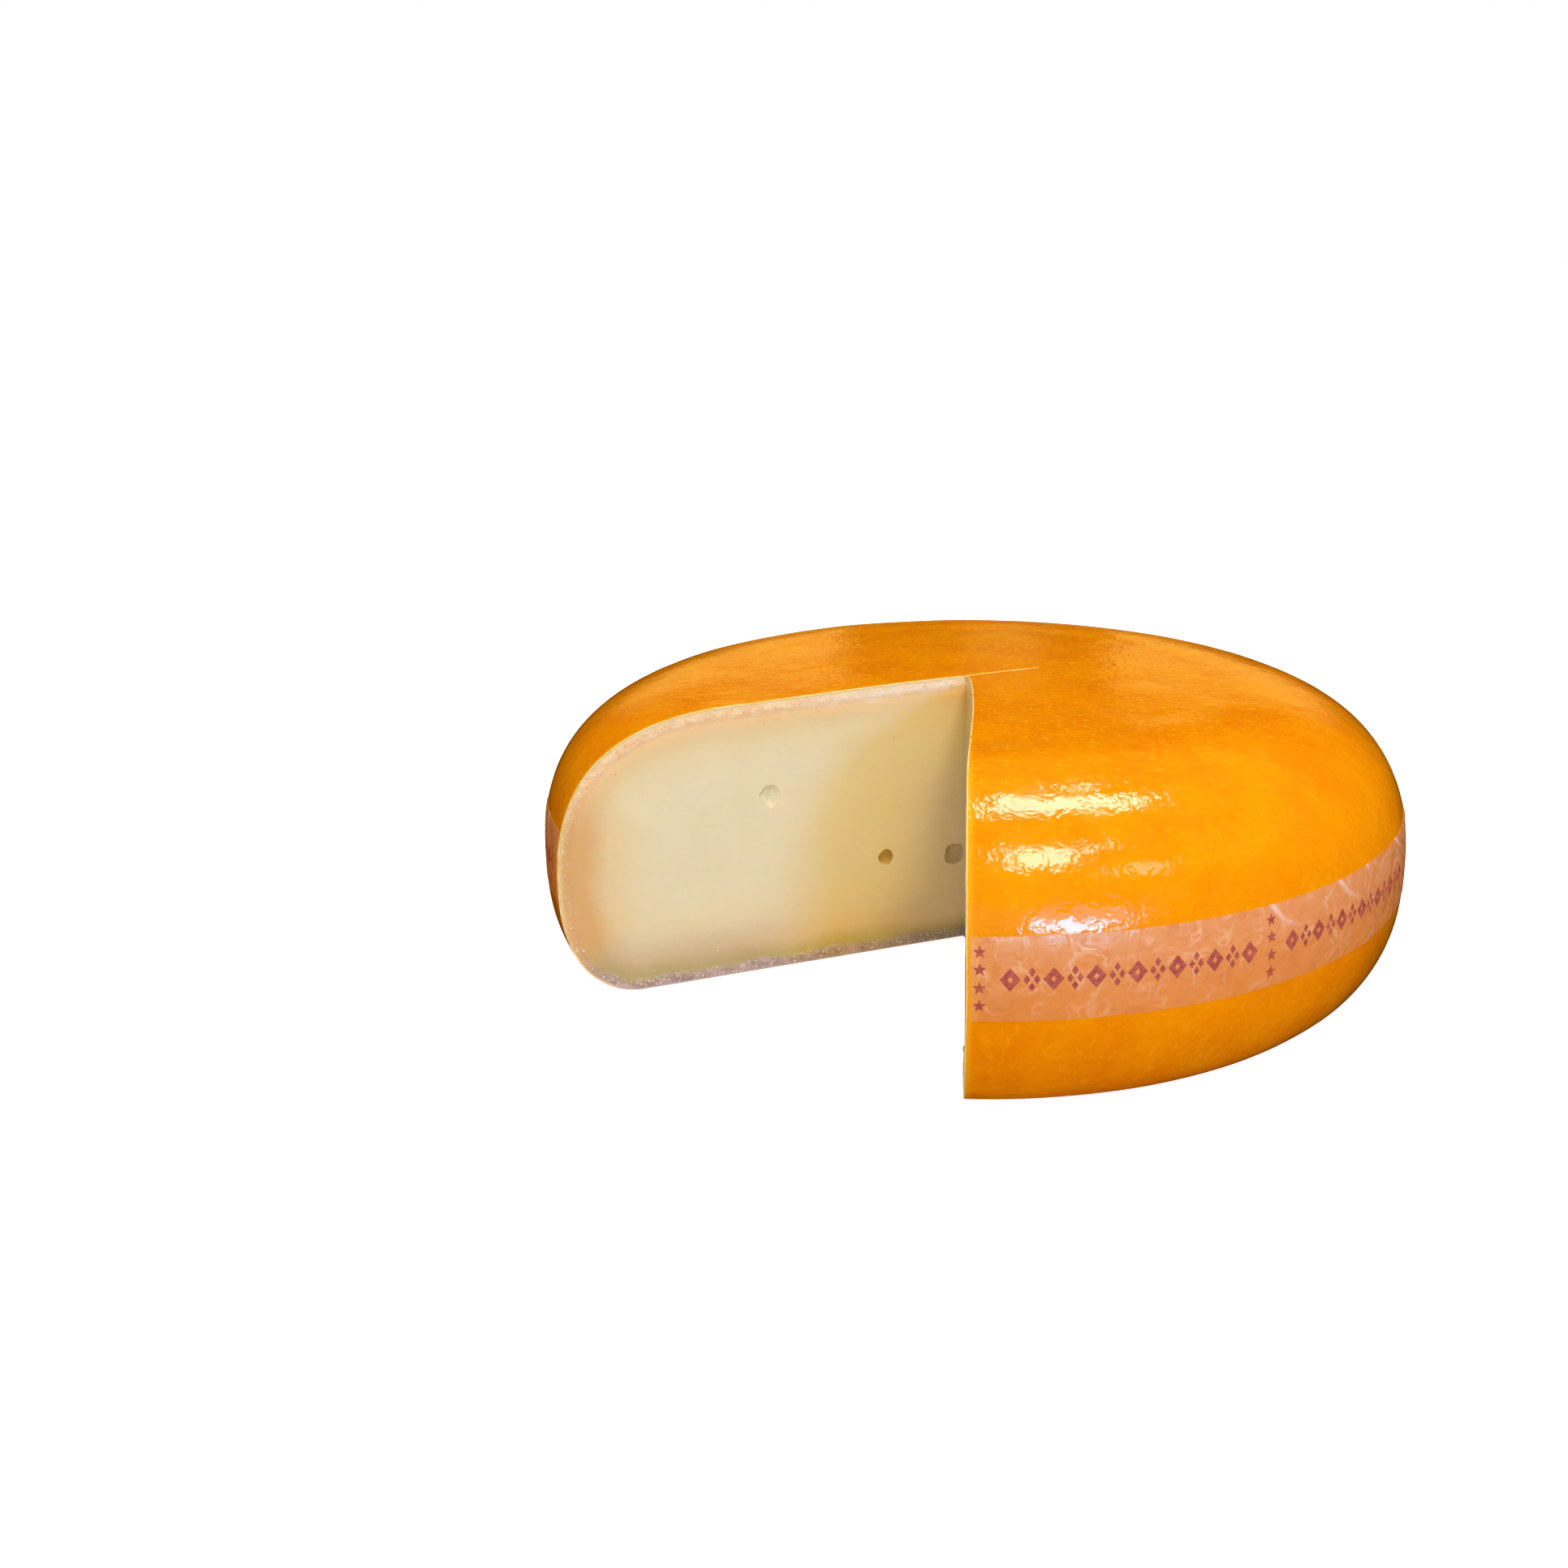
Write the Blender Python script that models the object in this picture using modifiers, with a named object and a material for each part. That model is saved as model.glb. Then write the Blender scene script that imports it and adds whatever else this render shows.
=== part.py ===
# A wheel of aged Gouda with a slice cut out and a paper band round its girth.
# The wheel lies flat. +Z is up, and the origin is on its turning axis, at the level of its base.
# The slice was cut from the side that faces -Y: one cut runs along -Y, the other swings from it towards -X.
# Everything is in metres.

import math

import bmesh
import bpy
from mathutils import Matrix, Vector

# The wheel's outline, turned about Z
WHEEL_RADIUS = 0.180
WHEEL_HEIGHT = 0.118
CROWN_RADIUS = 0.098
CROWN_DROP = 0.0016
GIRTH_HEIGHT = 0.049
BASE_RADIUS = 0.143
SHOULDER_POWER = 2.55
HEEL_POWER = 2.36

# The paper band and the shallow recess that it lies in
BAND_LOW = 0.0427
BAND_HIGH = 0.0729
BAND_RECESS = 0.0006
BAND_GAP = 0.0003
BAND_PROUD = 0.0001

# The slice that is gone: where the two cuts meet, and the angle between them
APEX = Vector((0.0, -0.0023))
SLICE_ANGLE = math.radians(64.2)
CUT_BOW = 0.0028
CUT_BOW_LENGTH = 0.130
CUTTER_REACH = 0.300

# The knife's overrun, a fine score in the top that continues the left cut past the apex
SCORE_LENGTH = 0.036
SCORE_WIDTH = 0.0008
SCORE_DEPTH = 0.0020
SCORE_OVERLAP = 0.0008

TURN_STEPS = 96
CROWN_STEPS = 3
SHOULDER_STEPS = 9
BAND_STEPS = 5
HEEL_STEPS = 8
BOW_STEPS = 8
EYE_SEGMENTS = 14
EYE_RINGS = 9
EYE_TILT = (0.4, 0.7, 0.0)
BLEND = 1e-5

# Directions, seen from above: along each cut, and the way its face looks
RIGHT_CUT = Vector((0.0, -1.0, 0.0))
RIGHT_FACING = Vector((-1.0, 0.0, 0.0))
LEFT_CUT = Vector((-math.sin(SLICE_ANGLE), -math.cos(SLICE_ANGLE), 0.0))
LEFT_FACING = Vector((math.cos(SLICE_ANGLE), -math.sin(SLICE_ANGLE), 0.0))

# Gas holes, as (distance from the apex, height, hole radius, how far its centre lies behind the cut)
LEFT_EYES = (
    (0.0885, 0.0763, 0.0052, -0.0022),
    (0.0369, 0.0422, 0.0033, 0.0010),
    (0.0045, 0.0392, 0.0050, 0.0008),
)
RIGHT_EYES = (
    (0.0180, 0.0306, 0.0034, 0.0012),
    (0.0856, 0.0456, 0.0048, -0.0022),
    (0.1535, 0.0472, 0.0020, 0.0002),
)


def half_wave(share, power):
    """A sine or cosine bent into the flatter run of a superellipse."""
    return max(share, 0.0) ** (2.0 / power)


def crown_points():
    """The faintly domed top, from the axis out to where the shoulder begins."""
    points = []
    for step in range(CROWN_STEPS):
        radius = CROWN_RADIUS * step / CROWN_STEPS
        drop = CROWN_DROP * (radius / CROWN_RADIUS) ** 2
        points.append((radius, WHEEL_HEIGHT - drop))
    return points


def shoulder_angle(height):
    """The turn from the crown at which the shoulder has come down to this height."""
    rise = WHEEL_HEIGHT - CROWN_DROP - GIRTH_HEIGHT
    return math.acos(((height - GIRTH_HEIGHT) / rise) ** (SHOULDER_POWER / 2.0))


def shoulder_point(angle):
    reach = WHEEL_RADIUS - CROWN_RADIUS
    rise = WHEEL_HEIGHT - CROWN_DROP - GIRTH_HEIGHT
    radius = CROWN_RADIUS + reach * half_wave(math.sin(angle), SHOULDER_POWER)
    return radius, GIRTH_HEIGHT + rise * half_wave(math.cos(angle), SHOULDER_POWER)


def heel_angle(height):
    """The turn from the girth at which the heel has come down to this height."""
    return math.asin((1.0 - height / GIRTH_HEIGHT) ** (HEEL_POWER / 2.0))


def heel_point(angle):
    reach = WHEEL_RADIUS - BASE_RADIUS
    radius = BASE_RADIUS + reach * half_wave(math.cos(angle), HEEL_POWER)
    return radius, GIRTH_HEIGHT * (1.0 - half_wave(math.sin(angle), HEEL_POWER))


def side_radius(height):
    """The bulging side's radius at a height between base and crown."""
    if height >= GIRTH_HEIGHT:
        return shoulder_point(shoulder_angle(height))[0]
    return heel_point(heel_angle(height))[0]


def steps_between(low, high, count):
    return [low + (high - low) * step / count for step in range(count + 1)]


def wheel_outline():
    """The half section from the top of the axis, down the outer side, to its foot."""
    points = crown_points()
    for angle in steps_between(0.0, shoulder_angle(BAND_HIGH), SHOULDER_STEPS):
        points.append(shoulder_point(angle))
    for height in steps_between(BAND_HIGH, BAND_LOW, BAND_STEPS):
        points.append((side_radius(height) - BAND_RECESS, height))
    for angle in steps_between(heel_angle(BAND_LOW), math.pi / 2.0, HEEL_STEPS):
        points.append(heel_point(angle))
    points.append((0.0, 0.0))
    return points


def band_outline():
    """The closed section of the band: down its outer side, then up its inner one."""
    low = BAND_LOW + BAND_GAP
    high = BAND_HIGH - BAND_GAP
    outer = [(side_radius(z) + BAND_PROUD, z) for z in steps_between(high, low, BAND_STEPS)]
    inner = [
        (side_radius(z) - BAND_RECESS + BAND_GAP, z)
        for z in steps_between(low, high, BAND_STEPS)
    ]
    return outer + inner


def collection(name):
    made = bpy.data.collections.new(name)
    bpy.context.scene.collection.children.link(made)
    return made


def cheese_material(name, colour, roughness):
    material = bpy.data.materials.new(name)
    material.use_nodes = True
    shader = material.node_tree.nodes["Principled BSDF"]
    shader.inputs["Base Color"].default_value = (*colour, 1.0)
    shader.inputs["Roughness"].default_value = roughness
    shader.inputs["Metallic"].default_value = 0.0
    return material


def turned(name, outline, closed, material, home):
    """An outline in the XZ plane, turned about Z by a Screw modifier."""
    mesh = bpy.data.meshes.new(name)
    shape = bmesh.new()
    corners = [shape.verts.new((radius, 0.0, height)) for radius, height in outline]
    for first, second in zip(corners, corners[1:]):
        shape.edges.new((first, second))
    if closed:
        shape.edges.new((corners[-1], corners[0]))
    shape.to_mesh(mesh)
    shape.free()
    mesh.materials.append(material)
    piece = bpy.data.objects.new(name, mesh)
    home.objects.link(piece)
    screw = piece.modifiers.new("turn", "SCREW")
    screw.axis = "Z"
    screw.angle = math.tau
    screw.steps = TURN_STEPS
    screw.render_steps = TURN_STEPS
    screw.use_merge_vertices = True
    screw.merge_threshold = BLEND
    screw.use_smooth_shade = True
    # Half a step of turn keeps the cuts off the rings of vertices.
    piece.rotation_euler.z = math.pi / TURN_STEPS
    return piece


def right_cut_bow(distance):
    """How far the right cut wanders into the cheese: most near the apex, and no longer at the rim."""
    share = min(distance / CUT_BOW_LENGTH, 1.0)
    return CUT_BOW * math.sin(math.pi * math.sqrt(share))


def slice_outline():
    """The slice seen from above, with its right side bowed where the knife wandered."""
    points = []
    for distance in steps_between(0.0, CUT_BOW_LENGTH, BOW_STEPS):
        points.append(APEX + RIGHT_CUT.xy * distance - RIGHT_FACING.xy * right_cut_bow(distance))
    points.append(APEX + RIGHT_CUT.xy * CUTTER_REACH)
    points.append(APEX + (RIGHT_CUT.xy + LEFT_CUT.xy).normalized() * CUTTER_REACH)
    points.append(APEX + LEFT_CUT.xy * CUTTER_REACH)
    return points


def as_cutter(obj, home):
    obj.hide_render = True
    obj.display_type = "WIRE"
    if home not in obj.users_collection:
        for other in obj.users_collection:
            other.objects.unlink(obj)
        home.objects.link(obj)
    return obj


def slice_cutter(home):
    """A prism over the slice's outline, taller than the wheel at both ends."""
    curve = bpy.data.curves.new("slice_outline", "CURVE")
    curve.dimensions = "2D"
    curve.fill_mode = "BOTH"
    curve.extrude = WHEEL_HEIGHT
    line = curve.splines.new("POLY")
    outline = slice_outline()
    line.points.add(len(outline) - 1)
    for point, place in zip(line.points, outline):
        point.co = (place.x, place.y, 0.0, 1.0)
    line.use_cyclic_u = True
    guide = bpy.data.objects.new("slice_outline", curve)
    home.objects.link(guide)
    guide.location.z = WHEEL_HEIGHT / 2.0
    bpy.context.view_layer.update()
    graph = bpy.context.evaluated_depsgraph_get()
    mesh = bpy.data.meshes.new_from_object(guide.evaluated_get(graph))
    shape = bmesh.new()
    shape.from_mesh(mesh)
    bmesh.ops.remove_doubles(shape, verts=shape.verts, dist=BLEND)
    bmesh.ops.recalc_face_normals(shape, faces=shape.faces)
    shape.to_mesh(mesh)
    shape.free()
    cutter = bpy.data.objects.new("slice_cutter", mesh)
    cutter.matrix_world = guide.matrix_world
    bpy.data.objects.remove(guide)
    home.objects.link(cutter)
    return as_cutter(cutter, home)


def eye_cutter(name, along, facing, eye, bow, home):
    """A ball whose cap bites a round gas hole of the stated radius out of a cut face."""
    distance, height, hole_radius, behind = eye
    ball_radius = math.hypot(hole_radius, behind)
    mesh = bpy.data.meshes.new(name)
    shape = bmesh.new()
    bmesh.ops.create_uvsphere(
        shape, u_segments=EYE_SEGMENTS, v_segments=EYE_RINGS, radius=ball_radius
    )
    shape.to_mesh(mesh)
    shape.free()
    ball = bpy.data.objects.new(name, mesh)
    home.objects.link(ball)
    spot = Vector((*APEX, height)) + along * distance
    ball.location = spot - facing * (bow + behind)
    # A tilt keeps the ball's rings off the plane of the cut.
    ball.rotation_euler = EYE_TILT
    return as_cutter(ball, home)


def score_cutter(home):
    """A thin blade along the left cut's line, on the far side of the apex."""
    mesh = bpy.data.meshes.new("score_cutter")
    shape = bmesh.new()
    bmesh.ops.create_cube(shape, size=1.0)
    length = SCORE_LENGTH + SCORE_OVERLAP
    size = Matrix.Diagonal((length, SCORE_WIDTH, 2.0 * SCORE_DEPTH, 1.0))
    bmesh.ops.transform(shape, matrix=size, verts=shape.verts)
    shape.to_mesh(mesh)
    shape.free()
    blade = bpy.data.objects.new("score_cutter", mesh)
    home.objects.link(blade)
    middle = length / 2.0 - SCORE_OVERLAP
    blade.location = Vector((*APEX, WHEEL_HEIGHT)) - LEFT_CUT * middle
    blade.rotation_euler.z = math.atan2(LEFT_CUT.y, LEFT_CUT.x)
    return as_cutter(blade, home)


def cut(piece, cutter):
    boolean = piece.modifiers.new(cutter.name, "BOOLEAN")
    boolean.operation = "DIFFERENCE"
    boolean.object = cutter
    boolean.solver = "EXACT"


def main():
    for obj in list(bpy.data.objects):
        bpy.data.objects.remove(obj)
    parts = collection("aged_gouda")
    cutters = collection("cutters")

    coat = cheese_material("yellow_orange_coating", (0.90, 0.36, 0.01), 0.25)
    paper = cheese_material("salmon_band_paper", (0.80, 0.33, 0.16), 0.45)

    wheel = turned("cheese_wheel", wheel_outline(), False, coat, parts)
    band = turned("paper_band", band_outline(), True, paper, parts)

    missing_slice = slice_cutter(cutters)
    cut(wheel, missing_slice)
    cut(band, missing_slice)
    for number, eye in enumerate(LEFT_EYES, 1):
        cut(wheel, eye_cutter(f"left_eye_{number}", LEFT_CUT, LEFT_FACING, eye, 0.0, cutters))
    for number, eye in enumerate(RIGHT_EYES, 1):
        bow = right_cut_bow(eye[0])
        cut(wheel, eye_cutter(f"right_eye_{number}", RIGHT_CUT, RIGHT_FACING, eye, bow, cutters))
    cut(wheel, score_cutter(cutters))


main()
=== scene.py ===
# The looks of an aged Gouda wheel with a slice cut out
# Metres, +Z up. Azimuths turn from -Y towards +X, and the right cut runs along -Y.

import math
import random

import bmesh
import bpy
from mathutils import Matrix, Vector, kdtree, noise


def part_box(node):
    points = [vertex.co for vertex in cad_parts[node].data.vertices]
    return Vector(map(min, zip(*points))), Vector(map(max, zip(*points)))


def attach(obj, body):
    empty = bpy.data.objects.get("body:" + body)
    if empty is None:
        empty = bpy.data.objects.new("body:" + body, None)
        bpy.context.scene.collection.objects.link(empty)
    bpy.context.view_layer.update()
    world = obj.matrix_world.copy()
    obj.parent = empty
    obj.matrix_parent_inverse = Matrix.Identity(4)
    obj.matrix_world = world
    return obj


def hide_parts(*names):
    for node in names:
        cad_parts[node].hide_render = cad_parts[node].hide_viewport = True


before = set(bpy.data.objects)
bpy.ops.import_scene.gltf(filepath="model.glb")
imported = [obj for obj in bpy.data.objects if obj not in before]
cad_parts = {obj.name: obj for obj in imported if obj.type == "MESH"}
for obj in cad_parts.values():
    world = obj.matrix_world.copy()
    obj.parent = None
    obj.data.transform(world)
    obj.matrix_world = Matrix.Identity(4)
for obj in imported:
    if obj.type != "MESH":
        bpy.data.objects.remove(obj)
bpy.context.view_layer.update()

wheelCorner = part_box("cheese_wheel")[1]
bandFoot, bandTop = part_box("paper_band")
millimetre = 0.001
tiny = 0.00001               # smaller than any detail

wheelForm = {
    "radius": round(wheelCorner.x, 3),
    "height": wheelCorner.z,
    "crownRadius": 0.098,    # where the shoulder begins
    "crownDrop": 0.0016,
    "girthHeight": 0.049,    # the widest level
    "baseRadius": 0.143,
    "shoulderPower": 2.55,
    "heelPower": 2.36,
    "topRow": 0.0030,        # spacing of the mesh along the outline
    "sideRow": 0.0022,
    "baseRow": 0.0100,
    "turnSteps": 480,
    "searchRow": 0.0005,     # spacing of the outline that depths are measured from
}

sliceForm = {
    "apex": Vector((0.0, -0.0023, 0.0)),
    "angle": math.radians(64.2),
    "bow": 0.0028,           # how far the right cut wanders into the cheese
    "bowLength": 0.130,
    "reach": 0.192,
    "farReach": 0.236,
    "overrun": 0.004,        # past the top and the base
    "calmLength": 0.008,     # no relief this near the inner edge
    "waveSize": 0.034,
    "waveDepth": 0.00030,
    "dragSize": 0.0070,      # faint upright marks of the knife
    "dragStretch": 9.0,
    "dragDepth": 0.00006,
    "grainSize": 0.0032,
    "grainDepth": 0.00007,
    "cuts": (11, 10),        # one after the other, across both cut faces
}


# Selecting and naming

def deselectAll():
    if bpy.context.object and bpy.context.object.mode != "OBJECT":
        bpy.ops.object.mode_set(mode="OBJECT")
    bpy.ops.object.select_all(action="DESELECT")


def pick(piece):
    deselectAll()
    piece.select_set(True)
    bpy.context.view_layer.objects.active = piece


def nameNew(name):
    piece = bpy.context.object
    piece.name = name
    piece.data.name = name
    return piece


def setPlace(piece):
    pick(piece)
    bpy.ops.object.transform_apply(location=True, rotation=True, scale=True)


def joinPieces(pieces, name):
    pick(pieces[0])
    for piece in pieces:
        piece.select_set(True)
    bpy.ops.object.join()
    return nameNew(name)


def copyPiece(piece):
    twin = piece.copy()
    twin.data = piece.data.copy()
    bpy.context.scene.collection.objects.link(twin)
    return twin


def selectFaces(piece, wanted):
    shape = bmesh.from_edit_mesh(piece.data)
    for face in shape.faces:
        face.select_set(wanted(face))
    bmesh.update_edit_mesh(piece.data)


def smoothByAngle(piece, degrees):
    pick(piece)
    bpy.ops.object.shade_smooth_by_angle(angle=math.radians(degrees))


def applyModifier(piece, modifier):
    pick(piece)
    bpy.ops.object.modifier_apply(modifier=modifier.name)


def giveThickness(piece, thickness):
    wall = piece.modifiers.new("thickness", "SOLIDIFY")
    wall.thickness = thickness
    wall.offset = -1.0
    applyModifier(piece, wall)


def addField(piece, name, values):
    # one number for each corner, which a material reads by its name
    field = piece.data.attributes.new(name, "FLOAT", "POINT")
    field.data.foreach_set("value", values)


def clamp(value, low=0.0, high=1.0):
    return min(max(value, low), high)


def softStep(value, low, high):
    share = clamp((value - low) / (high - low))
    return share * share * (3.0 - 2.0 * share)


# The wheel's outline

def halfWave(share, power):
    return max(share, 0.0) ** (2.0 / power)


def crownHeight(radius):
    return wheelForm["height"] - wheelForm["crownDrop"] * (radius / wheelForm["crownRadius"]) ** 2


def shoulderPoint(turn):
    form = wheelForm
    reach = form["radius"] - form["crownRadius"]
    rise = form["height"] - form["crownDrop"] - form["girthHeight"]
    radius = form["crownRadius"] + reach * halfWave(math.sin(turn), form["shoulderPower"])
    return radius, form["girthHeight"] + rise * halfWave(math.cos(turn), form["shoulderPower"])


def heelPoint(turn):
    form = wheelForm
    reach = form["radius"] - form["baseRadius"]
    radius = form["baseRadius"] + reach * halfWave(math.cos(turn), form["heelPower"])
    return radius, form["girthHeight"] * (1.0 - halfWave(math.sin(turn), form["heelPower"]))


def sideRadius(height):
    form = wheelForm
    if height >= form["girthHeight"]:
        rise = form["height"] - form["crownDrop"] - form["girthHeight"]
        share = (height - form["girthHeight"]) / rise
        return shoulderPoint(math.acos(share ** (form["shoulderPower"] / 2.0)))[0]
    share = 1.0 - height / form["girthHeight"]
    return heelPoint(math.asin(share ** (form["heelPower"] / 2.0)))[0]


def evenRun(points, spacing):
    # the same line, with its points an even distance apart
    lengths = [0.0]
    for first, second in zip(points, points[1:]):
        lengths.append(lengths[-1] + math.dist(first, second))
    count = round(lengths[-1] / spacing)
    run = []
    place = 0
    for step in range(count + 1):
        wanted = lengths[-1] * step / count
        while place < len(lengths) - 2 and lengths[place + 1] < wanted:
            place += 1
        share = (wanted - lengths[place]) / (lengths[place + 1] - lengths[place])
        start, end = points[place], points[place + 1]
        run.append((start[0] + (end[0] - start[0]) * share, start[1] + (end[1] - start[1]) * share))
    return run


def wheelOutline(topRow, sideRow, baseRow):
    fineSteps = 600
    crown = []
    side = []
    for step in range(fineSteps + 1):
        radius = wheelForm["crownRadius"] * step / fineSteps
        crown.append((radius, crownHeight(radius)))
    for step in range(fineSteps + 1):
        side.append(shoulderPoint(math.pi / 2.0 * step / fineSteps))
    for step in range(1, fineSteps + 1):
        side.append(heelPoint(math.pi / 2.0 * step / fineSteps))
    foot = [(wheelForm["baseRadius"], 0.0), (0.0, 0.0)]
    return evenRun(crown, topRow) + evenRun(side, sideRow)[1:] + evenRun(foot, baseRow)[1:]


def outlineSearch(spacing):
    # the outline at an even spacing, and a tree that finds its nearest point
    outline = wheelOutline(spacing, spacing, spacing)
    tree = kdtree.KDTree(len(outline))
    for number, (radius, height) in enumerate(outline):
        tree.insert((radius, 0.0, height), number)
    tree.balance()
    return outline, tree


# Relief that the wheel, the band and its print share

coatRelief = {
    "swellSize": 0.036,
    "swellDepth": 0.00022,
    "rippleSize": 0.0105,
    "rippleDepth": 0.000045,
    "fadeHeight": 0.010,
    "shift": Vector((3.1, 7.7, 1.9)),
}


def coatLift(place):
    relief = coatRelief
    swell = noise.noise(place / relief["swellSize"] + relief["shift"]) * relief["swellDepth"]
    ripple = noise.noise(place / relief["rippleSize"] - relief["shift"]) * relief["rippleDepth"]
    return (swell + ripple) * softStep(place.z, 0.0, relief["fadeHeight"])


# Where a point of a cut face lies

cutSides = {
    "right": {
        "along": Vector((0.0, -1.0, 0.0)),
        "facing": Vector((-1.0, 0.0, 0.0)),
        "shift": Vector((0.0, 0.0, 0.0)),
    },
    "left": {
        "along": Vector((-math.sin(sliceForm["angle"]), -math.cos(sliceForm["angle"]), 0.0)),
        "facing": Vector((math.cos(sliceForm["angle"]), -math.sin(sliceForm["angle"]), 0.0)),
        "shift": Vector((5.3, 2.1, 8.4)),
    },
}


def cutBow(side, distance):
    if side == "left":
        return 0.0
    share = clamp(distance / sliceForm["bowLength"])
    return sliceForm["bow"] * math.sin(math.pi * math.sqrt(share))


def cutRelief(side, distance, height):
    form = sliceForm
    shift = cutSides[side]["shift"]
    spot = Vector((distance, height, 0.0))
    wave = noise.noise(spot / form["waveSize"] + shift) * form["waveDepth"]
    upright = Vector((distance / form["dragSize"], height / (form["dragStretch"] * form["dragSize"]), 0.0))
    drag = noise.noise(upright + shift) * form["dragDepth"]
    grain = noise.noise(spot / form["grainSize"] + shift) * form["grainDepth"]
    calm = softStep(distance, 0.0, form["calmLength"])
    return (wave + drag + grain) * calm


def cutSpot(side, distance, height, behind=0.0):
    way = cutSides[side]
    lift = cutRelief(side, distance, height) - cutBow(side, distance) - behind
    flat = sliceForm["apex"] + way["along"] * distance + way["facing"] * lift
    return Vector((flat.x, flat.y, height))


# Node trees

def linear(red, green, blue):
    # a colour as seen on a screen, 0 to 255, as the values that light works with
    shades = []
    for value in (red, green, blue):
        share = value / 255.0
        shades.append(share / 12.92 if share <= 0.04045 else ((share + 0.055) / 1.055) ** 2.4)
    return (*shades, 1.0)


class Tree:
    def __init__(self, nodeTree):
        self.nodes = nodeTree.nodes
        self.links = nodeTree.links

    def add(self, kind, settings=None, inputs=None):
        node = self.nodes.new(kind)
        for name, value in (settings or {}).items():
            setattr(node, name, value)
        for name, value in (inputs or {}).items():
            self.feed(node, name, value)
        return node

    def feed(self, node, name, value):
        socket = node.inputs[name]
        if isinstance(value, bpy.types.NodeSocket):
            self.links.new(value, socket)
        else:
            socket.default_value = value

    def noise(self, vector, size, detail=2.0, roughness=0.5, distortion=0.0):
        inputs = {"Vector": vector, "Scale": 1.0 / size, "Detail": detail}
        inputs.update({"Roughness": roughness, "Distortion": distortion})
        return self.add("ShaderNodeTexNoise", None, inputs).outputs["Fac"]

    def math(self, operation, first, second=0.0):
        return self.add("ShaderNodeMath", {"operation": operation}, {0: first, 1: second}).outputs[0]

    def times(self, first, second):
        return self.math("MULTIPLY", first, second)

    def spread(self, value, low, high, start=0.0, end=1.0, smooth=True):
        kind = {"interpolation_type": "SMOOTHSTEP" if smooth else "LINEAR"}
        inputs = {"Value": value, "From Min": low, "From Max": high, "To Min": start, "To Max": end}
        return self.add("ShaderNodeMapRange", kind, inputs).outputs["Result"]

    def vary(self, pattern, start=0.0, end=1.0):
        # most of a noise lies between these two values
        return self.spread(pattern, 0.3, 0.7, start, end)

    def between(self, value, low, full, less, high, share=1.0):
        # rises from the first place to the second, and falls from the third to the last
        return self.times(self.spread(value, low, full, 0.0, share), self.spread(value, less, high, 1.0, 0.0))

    def ridges(self, pattern, width):
        # thin lines where a noise crosses its middle
        away = self.math("ABSOLUTE", self.math("SUBTRACT", pattern, 0.5))
        return self.spread(away, 0.0, width, 1.0, 0.0)

    def drift(self, value, pattern, low, high, reach):
        # the value, moved up or down by a noise
        return self.math("ADD", value, self.spread(pattern, low, high, -reach, reach, False))

    def mix(self, share, first, second, blend="MIX"):
        node = self.add("ShaderNodeMix", {"data_type": "RGBA", "blend_type": blend})
        self.feed(node, 0, share)
        self.feed(node, 6, first)
        self.feed(node, 7, second)
        return node.outputs[2]

    def ramp(self, value, stops):
        node = self.add("ShaderNodeValToRGB", None, {"Fac": value})
        marks = node.color_ramp.elements
        while len(marks) < len(stops):
            marks.new(0.5)
        for mark, (place, colour) in zip(marks, stops):
            mark.position = place
            mark.color = colour
        return node.outputs["Color"]

    def bump(self, height, distance, normal=None):
        node = self.add("ShaderNodeBump", None, {"Height": height, "Distance": distance, "Strength": 1.0})
        if normal is not None:
            self.feed(node, "Normal", normal)
        return node.outputs["Normal"]


def newMaterial(name):
    material = bpy.data.materials.new(name)
    material.use_nodes = True
    tree = Tree(material.node_tree)
    return material, tree, tree.add("ShaderNodeTexCoord").outputs["Object"]


def finishMaterial(material, tree, finish, colour, gloss, relief):
    # patterns are linked to the shader, and what is the same all over is set on its own sockets
    shader = tree.nodes["Principled BSDF"]
    tree.feed(shader, "Base Color", colour)
    tree.feed(shader, "Roughness", tree.vary(gloss, *finish["roughness"]))
    tree.feed(shader, "Normal", relief)
    shader.inputs["Specular IOR Level"].default_value = finish["specular"]
    if "scatter" in finish:
        weight, reach, size = finish["scatter"]
        shader.inputs["Subsurface Weight"].default_value = weight
        shader.inputs["Subsurface Radius"].default_value = reach
        shader.inputs["Subsurface Scale"].default_value = size
    return material


def readNumber(tree, name):
    return tree.add("ShaderNodeAttribute", {"attribute_name": name}).outputs["Fac"]


def readHeight(tree, place):
    return tree.add("ShaderNodeSeparateXYZ", None, {0: place}).outputs["Z"]


def readRadius(tree, place):
    # how far a point lies from the turning axis
    flat = tree.add("ShaderNodeVectorMath", {"operation": "MULTIPLY"}, {0: place, 1: (1.0, 1.0, 0.0)})
    length = tree.add("ShaderNodeVectorMath", {"operation": "LENGTH"}, {0: flat.outputs["Vector"]})
    return length.outputs["Value"]


# The glossy coat

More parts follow.
